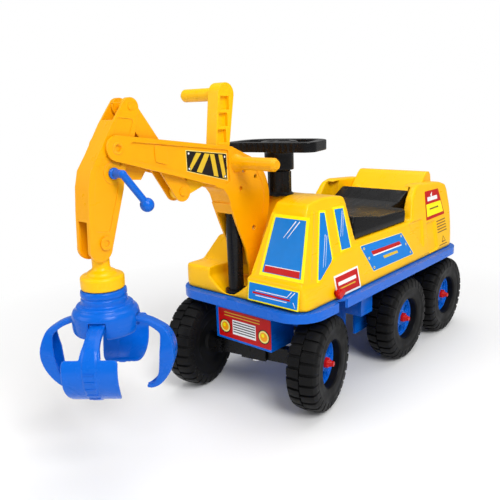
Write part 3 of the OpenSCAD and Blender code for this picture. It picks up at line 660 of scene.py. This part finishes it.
def add_cab_labels():
    shield = [(44, 301.5), (107.5, 301.5), (117.5, 214.5), (37, 214.5)]
    layers = framed(shield, 4.6)
    layers += bars(shrunk(shield, 5.4), [(0.03, 0.97, 0.885, 1.0, "red", 0.58),
                                         (0.03, 0.97, 0.872, 0.885, "white", 0.56)])
    layers += glints(shield, [(0.66, 0.40, 0.08, 0.36, 1.7), (0.76, 0.50, 0.08, 0.36, 1.7)])
    label("windshield_label", "chassis", windshield_point, layers)
    nose = [(22, 204.5), (116, 204.5), (116, 176), (22, 176)]
    layers = framed(nose, 1.8, "sky", "lemon")
    layers += bars(nose, [(0.10, 0.84, 0.50, 0.60, "red", 0.6), (0.16, 0.78, 0.40, 0.44, "white", 0.6),
                          (0.16, 0.78, 0.66, 0.70, "white", 0.6)])
    layers += glints(nose, [(0.86, 0.78, 0.12, 0.42, 1.5), (0.92, 0.84, 0.12, 0.42, 1.5),
                            (0.90, 0.94, 0.62, 0.86, 1.2)])
    label("nose_label", "chassis", nose_point, layers)
    quarter = [(30.5, 306), (47, 304), (50, 231.5), (30.5, 204), (2, 207)]
    layers = framed(quarter, 3.2)
    layers += [(band((38, 270), (22, 225), 1.2, 0.5), "white", 0.62),
               (band((42, 268), (28, 225), 1.0, 0.4), "white", 0.62)]
    label("quarter_window_label", "chassis", cab_side_point, layers)
    rear = [(66, 305.5), (95.5, 303.5), (103.5, 235), (71.5, 236.5)]
    layers = framed(rear, 3.4)
    layers += glints(rear, [(0.78, 0.22, 0.10, 0.66, 1.3), (0.84, 0.40, 0.16, 0.66, 0.9)])
    label("side_window_label", "chassis", cab_side_point, layers)


def add_side_labels(side):
    name = "left" if side > 0 else "right"

    def to_space(point, height):
        return side_point(point, height, side)
    tag = [(42.5, 206.5), (110, 208), (112, 173.5), (45, 173.5)]
    layers = framed(tag, 3.0, "red", "white")
    layers += bars(tag, [(0.12, 0.86, 0.34, 0.50, "white", 0.6), (0.16, 0.80, 0.62, 0.67, "gold", 0.6)])
    label("red_tag_label_" + name, "chassis", to_space, layers)
    panel = [(122.5, 236), (261, 232.5), (297, 187), (154.5, 188)]
    layers = [(rounded(panel, 2.5, 3), "cream", 0.38), (rounded(shrunk(panel, 1.0), 2.5, 3), "sky", 0.5)]
    layers += bars(panel, [(0.16, 0.84, 0.30, 0.44, "red", 0.6), (0.16, 0.84, 0.44, 0.485, "white", 0.6),
                           (0.34, 0.68, 0.60, 0.70, "gold", 0.6)])
    for at in [inside(panel, u, v) for u in (0.055, 0.945) for v in (0.13, 0.5, 0.87)]:
        layers += [(disc(at, 2.1, 16), "cream", 0.62), (disc(at, 1.1, 12), "brown", 0.72)]
    label("side_panel_label_" + name, "chassis", to_space, layers)
    rear = [(367, 289), (424, 288), (440, 237), (361, 236)]
    layers = [(rear, "red", 0.4)]
    layers += bars(rear, [(0.04, 0.96, 0.46, 0.89, "lemon", 0.52), (0.14, 0.80, 0.22, 0.36, "white", 0.52)])
    layers.append((band(inside(rear, 0.4, 0.20), inside(rear, 0.5, 0.06), 7, 0.4), "white", 0.52))
    layers += bars(rear, [(0.22, 0.74, 0.62, 0.67, "brown", 0.6)])
    label("rear_label_" + name, "chassis", to_space, layers)
    vent = [(401, 229), (441, 230), (446, 176), (402, 176)]
    layers = [(strip(vent, 0.02, 0.98, v, v + 0.035), "brown", 0.3) for v in (0.02, 0.12, 0.22, 0.32, 0.42)]
    layers += [(band(inside(vent, u, 0.82), inside(vent, 0.52, 0.62), 1.1), "brown", 0.3) for u in (0.35, 0.69)]
    layers += bars(vent, [(0.33, 0.71, 0.80, 0.83, "brown", 0.3), (0.05, 0.80, 0.90, 0.925, "brown", 0.3)])
    label("vent_label_" + name, "chassis", to_space, layers)


def add_grille_label():
    face = [(-51, 146), (57, 146), (57, 99), (-51, 99)]

    def to_space(point, height):
        return (point[0], -32 - height, point[1])
    layers = [(rounded(face, 2, 3), "red", 0.4)]
    layers += [(strip(face, 0.12, 0.80, v, v + 0.028), "gold", 0.52) for v in (0.10, 0.20)]
    grille = [(-21, 131), (27, 131), (27, 107), (-21, 107)]
    layers.append((grille, "white", 0.52))
    layers += [(strip(grille, 0.03, 0.97, v, v + 0.07), "black", 0.62) for v in (0.10, 0.27, 0.44, 0.61, 0.78)]
    for x in (-37, 43):
        layers += [(disc((x, 117), 11.5), "black", 0.5), (disc((x, 117), 9.8), "cream", 0.6),
                   (disc((x, 117), 7.2), "amber", 0.7), (disc((x - 1.5, 119), 3.0, 16), "lemon", 0.8)]
    label("grille_label", "chassis", to_space, layers)


build_body()
add_cab_labels()
for side in (1, -1):
    add_side_labels(side)
add_grille_label()


# ---------- wheels ----------

TRACK = 107.4               # from the toy's middle to the tyre's middle plane
LUGS = 28
LUG_HEIGHT = 3.6
LUG_STEPS = [0, 0.05, 0.15, 0.25, 0.30, 0.40, 0.5, 0.55, 0.65, 0.75, 0.80, 0.90]
AXLE_Z = 75.0
# Tyre section: distance from the tyre's middle plane, radius, share of the lug height.
TYRE_SECTION = [(-4, 36.2, 0), (-4, 9.4, 0), (-36, 9.4, 0), (-36, 12, 0), (-21.5, 13.5, 0), (-18.5, 17, 0),
                (-18.5, 32, 0), (-20, 36, 0), (-22.6, 40, 0), (-23.3, 45, 0), (-23.5, 52, 0),
                (-23.5, 54, 0), (-24.1, 55.5, 0), (-24.1, 57.5, 0), (-23.5, 59, 0.3), (-23.0, 62, 0.7),
                (-22.2, 65.4, 0.9), (-20.5, 68, 1), (-17, 69.6, 1), (-9, 71.1, 1), (-1.0, 71.4, 1),
                (-0.6, 70.6, 0), (0.6, 70.6, 0), (1.0, 71.4, 1), (9, 71.1, 1), (17, 69.6, 1), (20.5, 68, 1),
                (22.2, 65.4, 0.9), (23.0, 62, 0.7), (23.5, 59, 0.3), (24.1, 57.5, 0), (24.1, 55.5, 0),
                (23.5, 54, 0), (23.6, 48, 0), (23.3, 42, 0), (22.2, 37.8, 0), (20, 36.3, 0), (12, 36.2, 0)]


def wheel_frame(name):
    """Axle point and outward direction of a wheel, in drawing millimetres."""
    centre = middle_mm("tyre_" + name)
    axle = name.split("_")[0]
    y = 0.0 if axle == "front" else middle_mm(axle + "_axle_rod").y - FRONT_AXLE_Y
    out = Vector((centre.x, centre.y - FRONT_AXLE_Y - y, 0)).normalized()
    return Vector((0, y, AXLE_Z)), out


def lug_share(turn, outer_row):
    """Height share of the tread at a turn counted in lug pitches; the two rows are staggered."""
    t = (turn + (0.5 if outer_row else 0.0)) % 1.0
    return max(0.0, min(1.0, t / 0.05, (0.80 - t) / 0.05))


def build_tyre(name):
    """A hollow tyre with two staggered rows of lugs that run down onto its shoulders."""
    axle, out = wheel_frame(name)
    forward = out.cross(UP)
    turns = [k + t for k in range(LUGS) for t in LUG_STEPS]
    points = []
    for turn in turns:
        angle = 2 * math.pi * turn / LUGS
        spoke = UP * math.cos(angle) + forward * math.sin(angle)
        for along, radius, gain in TYRE_SECTION:
            share = gain * lug_share(turn, along > 0)
            if gain == 1:
                radius += LUG_HEIGHT * share
            else:
                radius += LUG_HEIGHT * 0.5 * share
                along += math.copysign(1.3 * share, along)
            points.append(axle + out * (TRACK + along) + spoke * radius)
    ob = solid("tread_" + name, points, ring_faces(len(turns), len(TYRE_SECTION)), [MATERIAL["tyre"]])
    smooth_shade(ob)
    ob.data.set_sharp_from_angle(angle=math.radians(28))
    finish_piece(ob, "tyre_" + name)


def joined(name, objects):
    """One piece made of several closed shapes."""
    bm = bmesh.new()
    for ob in objects:
        bm.from_mesh(ob.data)
    mesh = bpy.data.meshes.new(name)
    bm.to_mesh(mesh)
    bm.free()
    for ob in objects:
        bpy.data.objects.remove(ob)
    return new_piece(name, mesh)


HUB_FACE, HUB_RADIUS, BOSS_END = 115.0, 35.9, 118.0


def build_hub(name):
    """Dished wheel disc with six holes, a raised ring, ribs, bolts and a long boss."""
    axle, out = wheel_frame(name)
    face = HUB_FACE
    profile = [(4.1, 71), (9, 71), (9, face - 4), (16, face - 4), (31, face - 6), (31.5, 104),
               (HUB_RADIUS, 104), (HUB_RADIUS, face + 1.5), (34, face + 2.2), (32.4, face + 1.5),
               (31.6, face - 1.2), (16, face - 0.4), (13.5, face + 1.4), (11, face + 1.4), (9.6, face + 2.5),
               (9, BOSS_END - 0.6), (8.2, BOSS_END), (4.1, BOSS_END)]
    disc_ob = revolved("hub", profile, axle, out, 72)
    forward = out.cross(UP)
    holes, extras = [], []
    for k in range(6):
        a = math.radians(60 * k)
        spoke = UP * math.cos(a) + forward * math.sin(a)
        for reach in (19.5, 22.5, 25.5):
            at = axle + spoke * reach
            holes.append(rod("hole", at + out * (face - 9), at + out * (face + 4), 4.8, sides=20))
        b = a + math.radians(30)
        spoke = UP * math.cos(b) + forward * math.sin(b)
        at = axle + spoke * 27.5
        extras.append(rod("bolt", at + out * (face - 3), at + out * (face + 1.6), 2.4, 2.0, sides=6))
        foot, tip = axle + spoke * 10 + out * (face - 0.6), axle + spoke * 22 + out * (face - 0.9)
        extras.append(rod("rib", foot, tip, 1.5, sides=8))
    combine(disc_ob, holes, "DIFFERENCE")
    ob = joined("wheel_disc_" + name, [disc_ob] + extras)
    bevelled(ob, 0.5, 2, 30)
    finish_piece(ob, "hub_" + name)


def soft_cad(node, voxel, rounds):
    """A CAD part turned into a softly moulded mesh."""
    ob = moulded(cad_copy(node, node + "_moulding"), voxel, rounds)
    finish_piece(ob, node)


for wheel in WHEELS:
    build_tyre(wheel)
    build_hub(wheel)
    soft_cad("cap_" + wheel, 0.6, 3)
for knob in ("lock_knob_left", "lock_knob_right"):
    soft_cad(knob, 0.7, 3)


# ---------- seat, backrest, tray, steering ----------

RIM_TURN = 12               # the steering wheel stands turned with the front wheels, degrees
COLUMN = Vector((0, COLUMN_Y, 0))


def spoke_plate(degrees, reach):
    """A flat tapering spoke of the steering wheel."""
    along, across = turned(degrees + RIM_TURN)
    corners = [(18, 13), (reach, 9), (reach, -9), (18, -13)]
    points = [COLUMN + along * u + across * v + UP * z for z in (389.5, 399) for u, v in corners]
    return solid("spoke", points, tube_faces(4))


def build_steering_wheel():
    """Deep rounded rim, three flat spokes, a raised hub ring and finger ridges under the front."""
    ob = cad_copy("steering_wheel", "steering_rim")
    cuff = revolved("cuff", [(18.4, 391.5), (29, 390), (29, 400), (27.6, 401.6), (19.4, 401.6), (18.4, 400)],
                    COLUMN, UP, 72)
    combine(ob, [cuff] + [spoke_plate(a, r) for a, r in ((0, 66), (180, 66), (270, 36))])
    along, across = turned(RIM_TURN)
    ridges = []
    for k in range(-5, 6):
        at = COLUMN + along * (k * 9.0) - across * 44.2
        ridges.append(rod("ridge", at + UP * 389, at + UP * 400, 1.6, sides=12))
    combine(ob, ridges)
    moulded(ob, 1.1, 4)
    finish_piece(ob, "steering_wheel")


def build_column():
    """Steering column with its stepped foot and ten flutes."""
    profile = [(8, 306), (8, 317.6), (22, 317.6), (22, 319.4), (19.5, 321), (17.5, 323), (17.5, 355), (16.5, 356),
               (6.2, 356), (6.2, 306)]
    ob = revolved("column_moulding", profile, COLUMN, UP, 72)
    flutes = []
    for k in range(10):
        a = 2 * math.pi * k / 10
        x, y = 17.4 * math.cos(a), COLUMN_Y + 17.4 * math.sin(a)
        flutes.append(rod("flute", (x, y, 320), (x, y, 354), 1.3, sides=12))
    combine(ob, flutes)
    bevelled(ob, 0.4, 2, 30)
    finish_piece(ob, "column_housing")


def build_seat():
    """Seat lid: softened, with a round bolster along its hinge."""
    ob = cad_copy("seat_lid", "seat_moulding")
    combine(ob, [rod("bolster", (-72, 366, 279.3), (72, 366, 279.3), 9.6)])
    moulded(ob, 1.6, 7)
    finish_piece(ob, "seat_lid")


rounded_cad("chassis_tray", 1.6, 3, 40)
build_steering_wheel()
build_column()
build_seat()
soft_cad("backrest", 1.6, 6)
rounded_cad("horn_cap", 0.8)


# ---------- crane ----------

# Pivots as (y, z): boom tip, tower head, lever, claw hanger and claw crank.
TIP, HEAD, LEVER, HANG, CRANK = (-233, 413), (-27, 318), (-50, 371), (-260, 302), (-240, 384)
ARM_HALF, STICK_HALF = 19.0, 14.0
PANEL_DEPTH = 2.0
BOOM_PANEL = [(-214, 419.5), (-44, 396.5), (-42, 352), (-48, 347.5), (-214, 397)]
STICK_PANEL = [(-226, 449), (-245, 408), (-262, 388), (-267, 368), (-270, 340), (-272, 318), (-252, 314),
               (-235, 362), (-231, 386), (-212, 424), (-203, 446)]


def ring(name, spot, x, way, inner, outer, high):
    """A raised ring standing on a side face at x, facing along way (+1 or -1)."""
    profile = [(inner, -0.6), (outer, -0.6), (outer, high * 0.6), (outer - 0.6, high), (inner + 0.4, high),
               (inner, high * 0.7)]
    return revolved(name, profile, (x, spot[0], spot[1]), (way, 0, 0), 48)


def build_arm(side):
    """One half of boom and tower: recessed panel, raised pad, pivot rings and screw holes."""
    node = "arm_left_shell" if side > 0 else "arm_right_shell"
    face = ARM_X + side * ARM_HALF
    ob = cad_copy(node, node + "_moulding")
    low, high = sorted((face - side * PANEL_DEPTH, face + side * 3))
    cuts = [prism("panel", rounded(BOOM_PANEL, 4), "x", low, high)]
    line = revolved("cheek_line", [(58.2, -0.7), (60.0, -0.7), (60.0, 2), (58.2, 2)],
                    (face, *HEAD), (side, 0, 0))
    keep = prism("keep", [(-38, 300), (60, 290), (60, 420), (-38, 420)], "x", -200, 200)
    cuts.append(combine(line, [keep], "INTERSECT"))
    cuts += [rod("screw_hole", (face - side * 4, y, z), (face + side * 2, y, z), 3.4, sides=24)
             for y, z in [(-20, 338), (14, 352)]]
    combine(ob, cuts, "DIFFERENCE")
    low, high = sorted((face - side * (PANEL_DEPTH + 0.5), face - side * 0.6))
    pad = rounded([(-177, 413), (-157, 410), (-157, 386), (-177, 392)], 3)
    combine(ob, [prism("pad", pad, "x", low, high), ring("tip_ring", TIP, face, side, 5.0, 7.5, 0.8)])
    if side < 0:
        combine(ob, [ring("lever_ring", LEVER, face + PANEL_DEPTH, side, 5.5, 8.5, 1.0)])
    bevelled(ob, 1.0, 3, 35)
    finish_piece(ob, node)


def build_stick(side):
    """One half of the stick: its side panel is let in around the pivots."""
    node = "stick_left_half" if side > 0 else "stick_right_half"
    face = ARM_X + side * STICK_HALF
    ob = cad_copy(node, node + "_moulding")
    low, high = sorted((face - side * 0.9, face + side * 2))
    panel = prism("panel", rounded(STICK_PANEL, 3), "x", low, high)
    combine(panel, [rod("boss", (face - 5, y, z), (face + 5, y, z), 13) for y, z in (TIP, CRANK)], "DIFFERENCE")
    combine(ob, [panel], "DIFFERENCE")
    if side < 0:
        combine(ob, [ring("pin_ring", HANG, face, side, 4.6, 8.5, 1.6)])
    bevelled(ob, 0.9, 3, 35)
    finish_piece(ob, node)


HAZARD_STRIPES = [(0.22, 0.35, 0, 0.07), (0.44, 0.57, 0.21, 0.34), (0.575, 0.69, 0.66, 0.78),
                  (0.80, 0.91, 0.90, 1.0)]     # shares across at the top and at the bottom


def add_hazard_label():
    """Warning stripes meeting in the middle, in a thin cream outline with marks in the corners."""
    quad = [(-124, 402.5), (-46, 391.5), (-46, 352.5), (-124, 374)]

    def to_space(point, height):
        return (ARM_X + ARM_HALF - PANEL_DEPTH + height, point[0], point[1])
    layers = [(quad, "cream", 0.4), (shrunk(quad, 0.9), "black", 0.5)]
    core = shrunk(quad, 2.4)
    layers += [([inside(core, a, 0), inside(core, b, 0), inside(core, d, 1), inside(core, c, 1)], "gold", 0.6)
               for a, b, c, d in HAZARD_STRIPES]
    for at in [inside(core, u, v) for u, v in ((0.03, 0.08), (0.97, 0.08), (0.97, 0.92), (0.03, 0.92))]:
        layers += [(disc(at, 2.4, 16), "black", 0.66), (disc(at, 1.5, 16), "white", 0.74)]
    label("hazard_label", "arm", to_space, layers)


def build_lever():
    """The control lever with rounded moulded edges."""
    ob = cad_copy("control_lever", "lever_moulding")
    bevelled(ob, 1.2, 3, 35)
    finish_piece(ob, "control_lever")


build_arm(1)
build_arm(-1)
build_stick(1)
build_stick(-1)
add_hazard_label()
build_lever()
rounded_cad("push_link", 0.9)
soft_cad("claw_crank", 0.6, 4)


# ---------- claw ----------

CLAW = Vector((ARM_X, HANG[0], 0))
CLAW_TURN = -6              # the claw hangs turned a little, degrees
FINGER_WALL, FINGER_RIB = 2.4, 2.0
EYE_HALF, EYE_RADIUS = 7.5, 9
# Each finger's middle line as (radius, height), then its width and depth at the same stations.
NARROW_PATH = [(30, 207.5), (40, 206.5), (56, 201.5), (68, 195), (76, 189), (81.5, 179), (84.8, 166), (84.6, 153),
               (80.5, 139), (73.5, 126), (64, 115), (54, 109.5), (46, 108)]
NARROW_WIDTH = [19, 19, 18.5, 18.5, 20, 25, 30, 31, 29, 25, 20, 14, 7]
NARROW_DEPTH = [5, 5, 6, 7.5, 10, 14, 17.5, 18, 16, 12, 8, 5.5, 4]
WIDE_PATH = [(30, 207.5), (40, 206.5), (56, 201.5), (67, 195), (73.5, 190), (79.5, 181.5), (83.6, 171.5),
             (85, 160), (83, 148), (77, 136.5), (68, 127.5), (58, 121.5), (51, 119.5)]
WIDE_WIDTH = [19, 19, 18.5, 19.5, 22, 25, 25, 24, 22, 20, 18, 16, 14]


def smooth_path(values, per=5):
    """Catmull-Rom curve through tuples of numbers."""
    pts = [Vector(v) for v in values]
    out = []
    for i in range(len(pts) - 1):
        p0, p1, p2, p3 = pts[max(i - 1, 0)], pts[i], pts[i + 1], pts[min(i + 2, len(pts) - 1)]
        for k in range(per):
            t = k / per
            out.append(0.5 * ((2 * p1) + (p2 - p0) * t + (2 * p0 - 5 * p1 + 4 * p2 - p3) * t * t
                              + (3 * p1 - p0 - 3 * p2 + p3) * t ** 3))
    out.append(pts[-1])
    return out


def swept(name, path, sections, degrees):
    """Sweeps closed (across, outwards) sections along a (radius, height) path at a claw angle."""
    out, across = turned(degrees + CLAW_TURN)
    points = []
    last = len(path) - 1
    for i, p in enumerate(path):
        way = (path[min(i + 1, last)] - path[max(i - 1, 0)])
        way = Vector((way[0], way[1])).normalized()
        normal = Vector((-way.y, way.x))
        for s, t in sections[i]:
            r, z = p[0] + normal.x * t, p[1] + normal.y * t
            points.append(CLAW + out * r + UP * z + across * s)
    m = len(sections[0])
    ends = [tuple(range(m)), tuple(range((last + 1) * m - 1, last * m - 1, -1))]
    return solid(name, points, ring_faces(last + 1, m, closed=False) + ends)


def channel(w, lift, deep):
    """Section of a finger: flat outside with a raised middle, hollow inside with a central rib."""
    wall, rib = FINGER_WALL, FINGER_RIB
    h = w / 2
    m = min(0.34 * w, h - 1.0)
    edge = min(2.4, 0.2 * w)
    fin = wall + min(2.6, 0.5 * (deep - wall))
    return [(-h, 0), (-m, 0), (-m + 0.7, lift), (m - 0.7, lift), (m, 0), (h, 0), (h, -deep), (h - edge, -deep),
            (h - edge, -wall), (rib, -wall), (rib * 0.6, -fin), (-rib * 0.6, -fin), (-rib, -wall),
            (-h + edge, -wall), (-h + edge, -deep), (-h, -deep)]


def pin_eye(degrees):
    """The eye a finger turns on and the tail the plunger lifts."""
    out, across = turned(degrees + CLAW_TURN)
    at = CLAW + out * 34 + UP * 206
    return [rod("eye", at - across * 9.8, at + across * 9.8, 5.4, sides=24),
            rod("tail", at + out * 2 - UP * 1.5, at - out * 12 - UP * 1.5, 2.6, sides=12)]


def build_narrow_finger(name, degrees):
    """A curved finger, widest and deepest half-way down."""
    rows = smooth_path([(r, z, w, d) for (r, z), w, d in zip(NARROW_PATH, NARROW_WIDTH, NARROW_DEPTH)])
    sections = [channel(row[2], 0.9, row[3]) for row in rows]
    ob = swept("narrow_" + name, rows, sections, degrees)
    combine(ob, pin_eye(degrees))
    moulded(ob, 0.8, 3)
    finish_piece(ob, "claw_finger_" + name)


def scoop_section(share):
    """Cross-section of the bucket's barrel at a share of its length; its free end is rounded."""
    fall = max(0.0, share - 0.42) / 0.62
    half = 33 * math.sqrt(1 - 0.66 * fall * fall) - 2.5 * max(0.0, 1 - share / 0.07) ** 2
    return [(-half, -0.6), (-half + 1.2, -0.1), (half - 1.2, -0.1), (half, -0.6), (half, -3.0), (-half, -3.0)]


def build_wide_finger(name, degrees):
    """A finger that carries a bucket with five bars across its back."""
    rows = smooth_path([(r, z, w) for (r, z), w in zip(WIDE_PATH, WIDE_WIDTH)])
    sections = [channel(row[2], 1.2, 6.0 if row[1] > 182 else 3.2) for row in rows]
    ob = swept("finger", rows, sections, degrees)
    start = next(i for i, row in enumerate(rows) if row[1] < 183)
    barrel = rows[start:]
    last = len(barrel) - 1
    scoop = swept("scoop", barrel, [scoop_section(i / last) for i in range(last + 1)], degrees)
    combine(ob, [scoop] + pin_eye(degrees))
    moulded(ob, 0.9, 3)
    bars = []
    for k in range(5):
        i = start + 7 + 4 * k
        bar = [(-6.5, 2.1), (6.5, 2.1), (6.5, 0.2), (-6.5, 0.2)]
        path = [rows[i], rows[i].lerp(rows[i + 1], 0.6)]
        bars.append(swept("bar", path, [bar] * 2, degrees))
    ob = smooth_shade(joined("wide_" + name, [ob] + bars))
    ob.data.set_sharp_from_angle(angle=math.radians(40))
    finish_piece(ob, "claw_finger_" + name)


def build_claw_head():
    """Stepped, domed head with four slots for the fingers."""
    profile = [(12.2, 243.4), (26.5, 243.4), (28.3, 242), (28.8, 238.5), (28.8, 236), (27.6, 234.8),
               (27.6, 233.5), (28.8, 232.5), (28.8, 226.5), (29.6, 225.2), (33.0, 224.6), (35.4, 223.2),
               (36, 220.5), (37.2, 219.4), (39.8, 217.4), (41.6, 213.5), (42.2, 208), (42.2, 198), (41.6, 192),
               (39.8, 188.8), (37, 188.2), (37, 212), (31, 218.5), (18, 218.5), (12.2, 218.5)]
    head = revolved("claw_dome", profile, CLAW, UP)
    slots = []
    for k in range(4):
        out, across = turned(45 + 90 * k + CLAW_TURN)
        points = [CLAW + out * r + across * s + UP * z for z in (185, 210.5)
                  for r, s in ((20, -10.6), (60, -10.6), (60, 10.6), (20, 10.6))]
        slots.append(solid("slot", points, tube_faces(4)))
    combine(head, slots, "DIFFERENCE")
    moulded(head, 0.9, 3)
    finish_piece(head, "claw_head")


def build_hanger():
    """Stepped collar, neck and the flat eye that hangs on the stick's pin."""
    profile = [(2.6, 228), (17, 228), (17, 231.5), (12, 232.5), (12, 243.8), (25.0, 243.8), (26.6, 244.8),
               (27, 247), (27.2, 257.5), (26.6, 259.6), (24.6, 261.2), (20, 261.8), (18.6, 262.6), (17.6, 265),
               (15.2, 266.4), (12.5, 267.6), (10.8, 271), (10.2, 280), (9.6, 284.5), (8, 286), (2.6, 286)]
    neck = revolved("hanger_moulding", profile, CLAW, UP)
    low, high, reach = ARM_X - EYE_HALF, ARM_X + EYE_HALF, EYE_RADIUS
    plan = rounded([(x, HANG[0] + y) for x, y in ((low, -reach), (high, -reach), (high, reach), (low, reach))], 2)
    combine(neck, [prism("plate", plan, "z", 270, HANG[1]),
                   rod("eye", (low, *HANG), (high, *HANG), reach, sides=48)])
    combine(neck, [rod("bore", (ARM_X - 12, *HANG), (ARM_X + 12, *HANG), 4.15)], "DIFFERENCE")
    moulded(neck, 0.9, 3)
    finish_piece(neck, "claw_hanger")


build_narrow_finger("left", 45)
build_narrow_finger("right", 225)
build_wide_finger("front", -45)
build_wide_finger("back", 135)
build_claw_head()
build_hanger()


# ---------- studio ----------

AMBIENT = 0.36
FLOOR_HALF = 6.0                        # half the floor's side, m
FLOOR_NEAR, FLOOR_FAR = 0.45, 0.85      # where the floor fades into the white backdrop, m
LIGHT_AIM = (0, 0.1, 0.2)
# Soft boxes: name, place and side in metres, power in watts.
LIGHTS = [("key", (1.9, -0.9, 2.1), 1.2, 58), ("front", (-1.2, -2.3, 1.5), 1.8, 22),
          ("top", (0.0, 0.3, 2.4), 2.0, 26)]
CAMERA_TURN = (41.9, 14.0, -2.1)        # azimuth, elevation and roll, degrees
CAMERA_TARGET = (-120.1, 125.5, 196.8)  # about the front axle, mm
CAMERA_DISTANCE = 1.0816                # m
CAMERA_LENS = 42.07                     # mm, on a 36 mm sensor


def add_floor():
    """A pale floor that turns into the white backdrop away from the toy, for the camera only."""
    mat, nodes, links = new_material("studio_floor")
    bsdf = nodes["Principled BSDF"]
    tone = add_noise(nodes, links, 3)
    links.new(add_mix(nodes, links, tone, (0.86, 0.86, 0.86, 1), (0.9, 0.9, 0.9, 1)), bsdf.inputs["Base Color"])
    set_inputs(bsdf, Roughness=0.6)
    coords = nodes.new("ShaderNodeTexCoord")
    span = nodes.new("ShaderNodeVectorMath")
    span.operation = "LENGTH"
    links.new(coords.outputs["Object"], span.inputs[0])
    path = nodes.new("ShaderNodeLightPath")
    far_away = add_range(nodes, links, span.outputs["Value"], FLOOR_NEAR, FLOOR_FAR, 0, 1)
    glow = nodes.new("ShaderNodeEmission")
    mixer = nodes.new("ShaderNodeMixShader")
    links.new(add_product(nodes, links, far_away, path.outputs["Is Camera Ray"]), mixer.inputs["Fac"])
    links.new(bsdf.outputs["BSDF"], mixer.inputs[1])
    links.new(glow.outputs["Emission"], mixer.inputs[2])
    links.new(mixer.outputs["Shader"], nodes["Material Output"].inputs["Surface"])
    mesh = bpy.data.meshes.new("studio_floor")
    corners = [(x * FLOOR_HALF, y * FLOOR_HALF, 0) for x, y in ((-1, -1), (1, -1), (1, 1), (-1, 1))]
    mesh.from_pydata(corners, [], [(0, 1, 2, 3)])
    mesh.materials.append(mat)
    new_piece("studio_floor", mesh)


def add_area(name, spot, size, power):
    """A soft box aimed at the toy."""
    light = bpy.data.lights.new(name, "AREA")
    light.size = size
    light.energy = power
    ob = new_piece(name, light)
    ob.location = spot
    ob.rotation_euler = (Vector(LIGHT_AIM) - Vector(spot)).to_track_quat("-Z", "Y").to_euler()


def add_studio():
    """White backdrop for the camera, dimmer white surroundings, and three soft boxes."""
    world = bpy.data.worlds.new("studio")
    world.use_nodes = True
    nodes, links = world.node_tree.nodes, world.node_tree.links
    background = nodes["Background"]
    set_inputs(background, Color=(1, 1, 1, 1))
    path = nodes.new("ShaderNodeLightPath")
    links.new(add_range(nodes, links, path.outputs["Is Camera Ray"], 0, 1, AMBIENT, 1.0),
              background.inputs["Strength"])
    bpy.context.scene.world = world
    for name, spot, size, power in LIGHTS:
        add_area(name, spot, size, power)
    add_floor()


def add_camera():
    """Camera at the reference view, from the front left and slightly rolled."""
    azimuth, elevation, roll = (math.radians(a) for a in CAMERA_TURN)
    back = Vector((math.sin(azimuth) * math.cos(elevation), -math.cos(azimuth) * math.cos(elevation),
                   math.sin(elevation)))
    level = Vector((math.cos(azimuth), math.sin(azimuth), 0))
    upright = back.cross(level)
    right = level * math.cos(roll) + upright * math.sin(roll)
    up = upright * math.cos(roll) - level * math.sin(roll)
    camera = bpy.data.cameras.new("camera")
    camera.sensor_width = 36
    camera.lens = CAMERA_LENS
    ob = new_piece("camera", camera)
    pose = Matrix((right, up, back)).transposed().to_4x4()
    pose.translation = place(CAMERA_TARGET) + back * CAMERA_DISTANCE
    ob.matrix_world = pose
    bpy.context.scene.camera = ob


bpy.context.scene.view_settings.view_transform = "Standard"
add_studio()
add_camera()
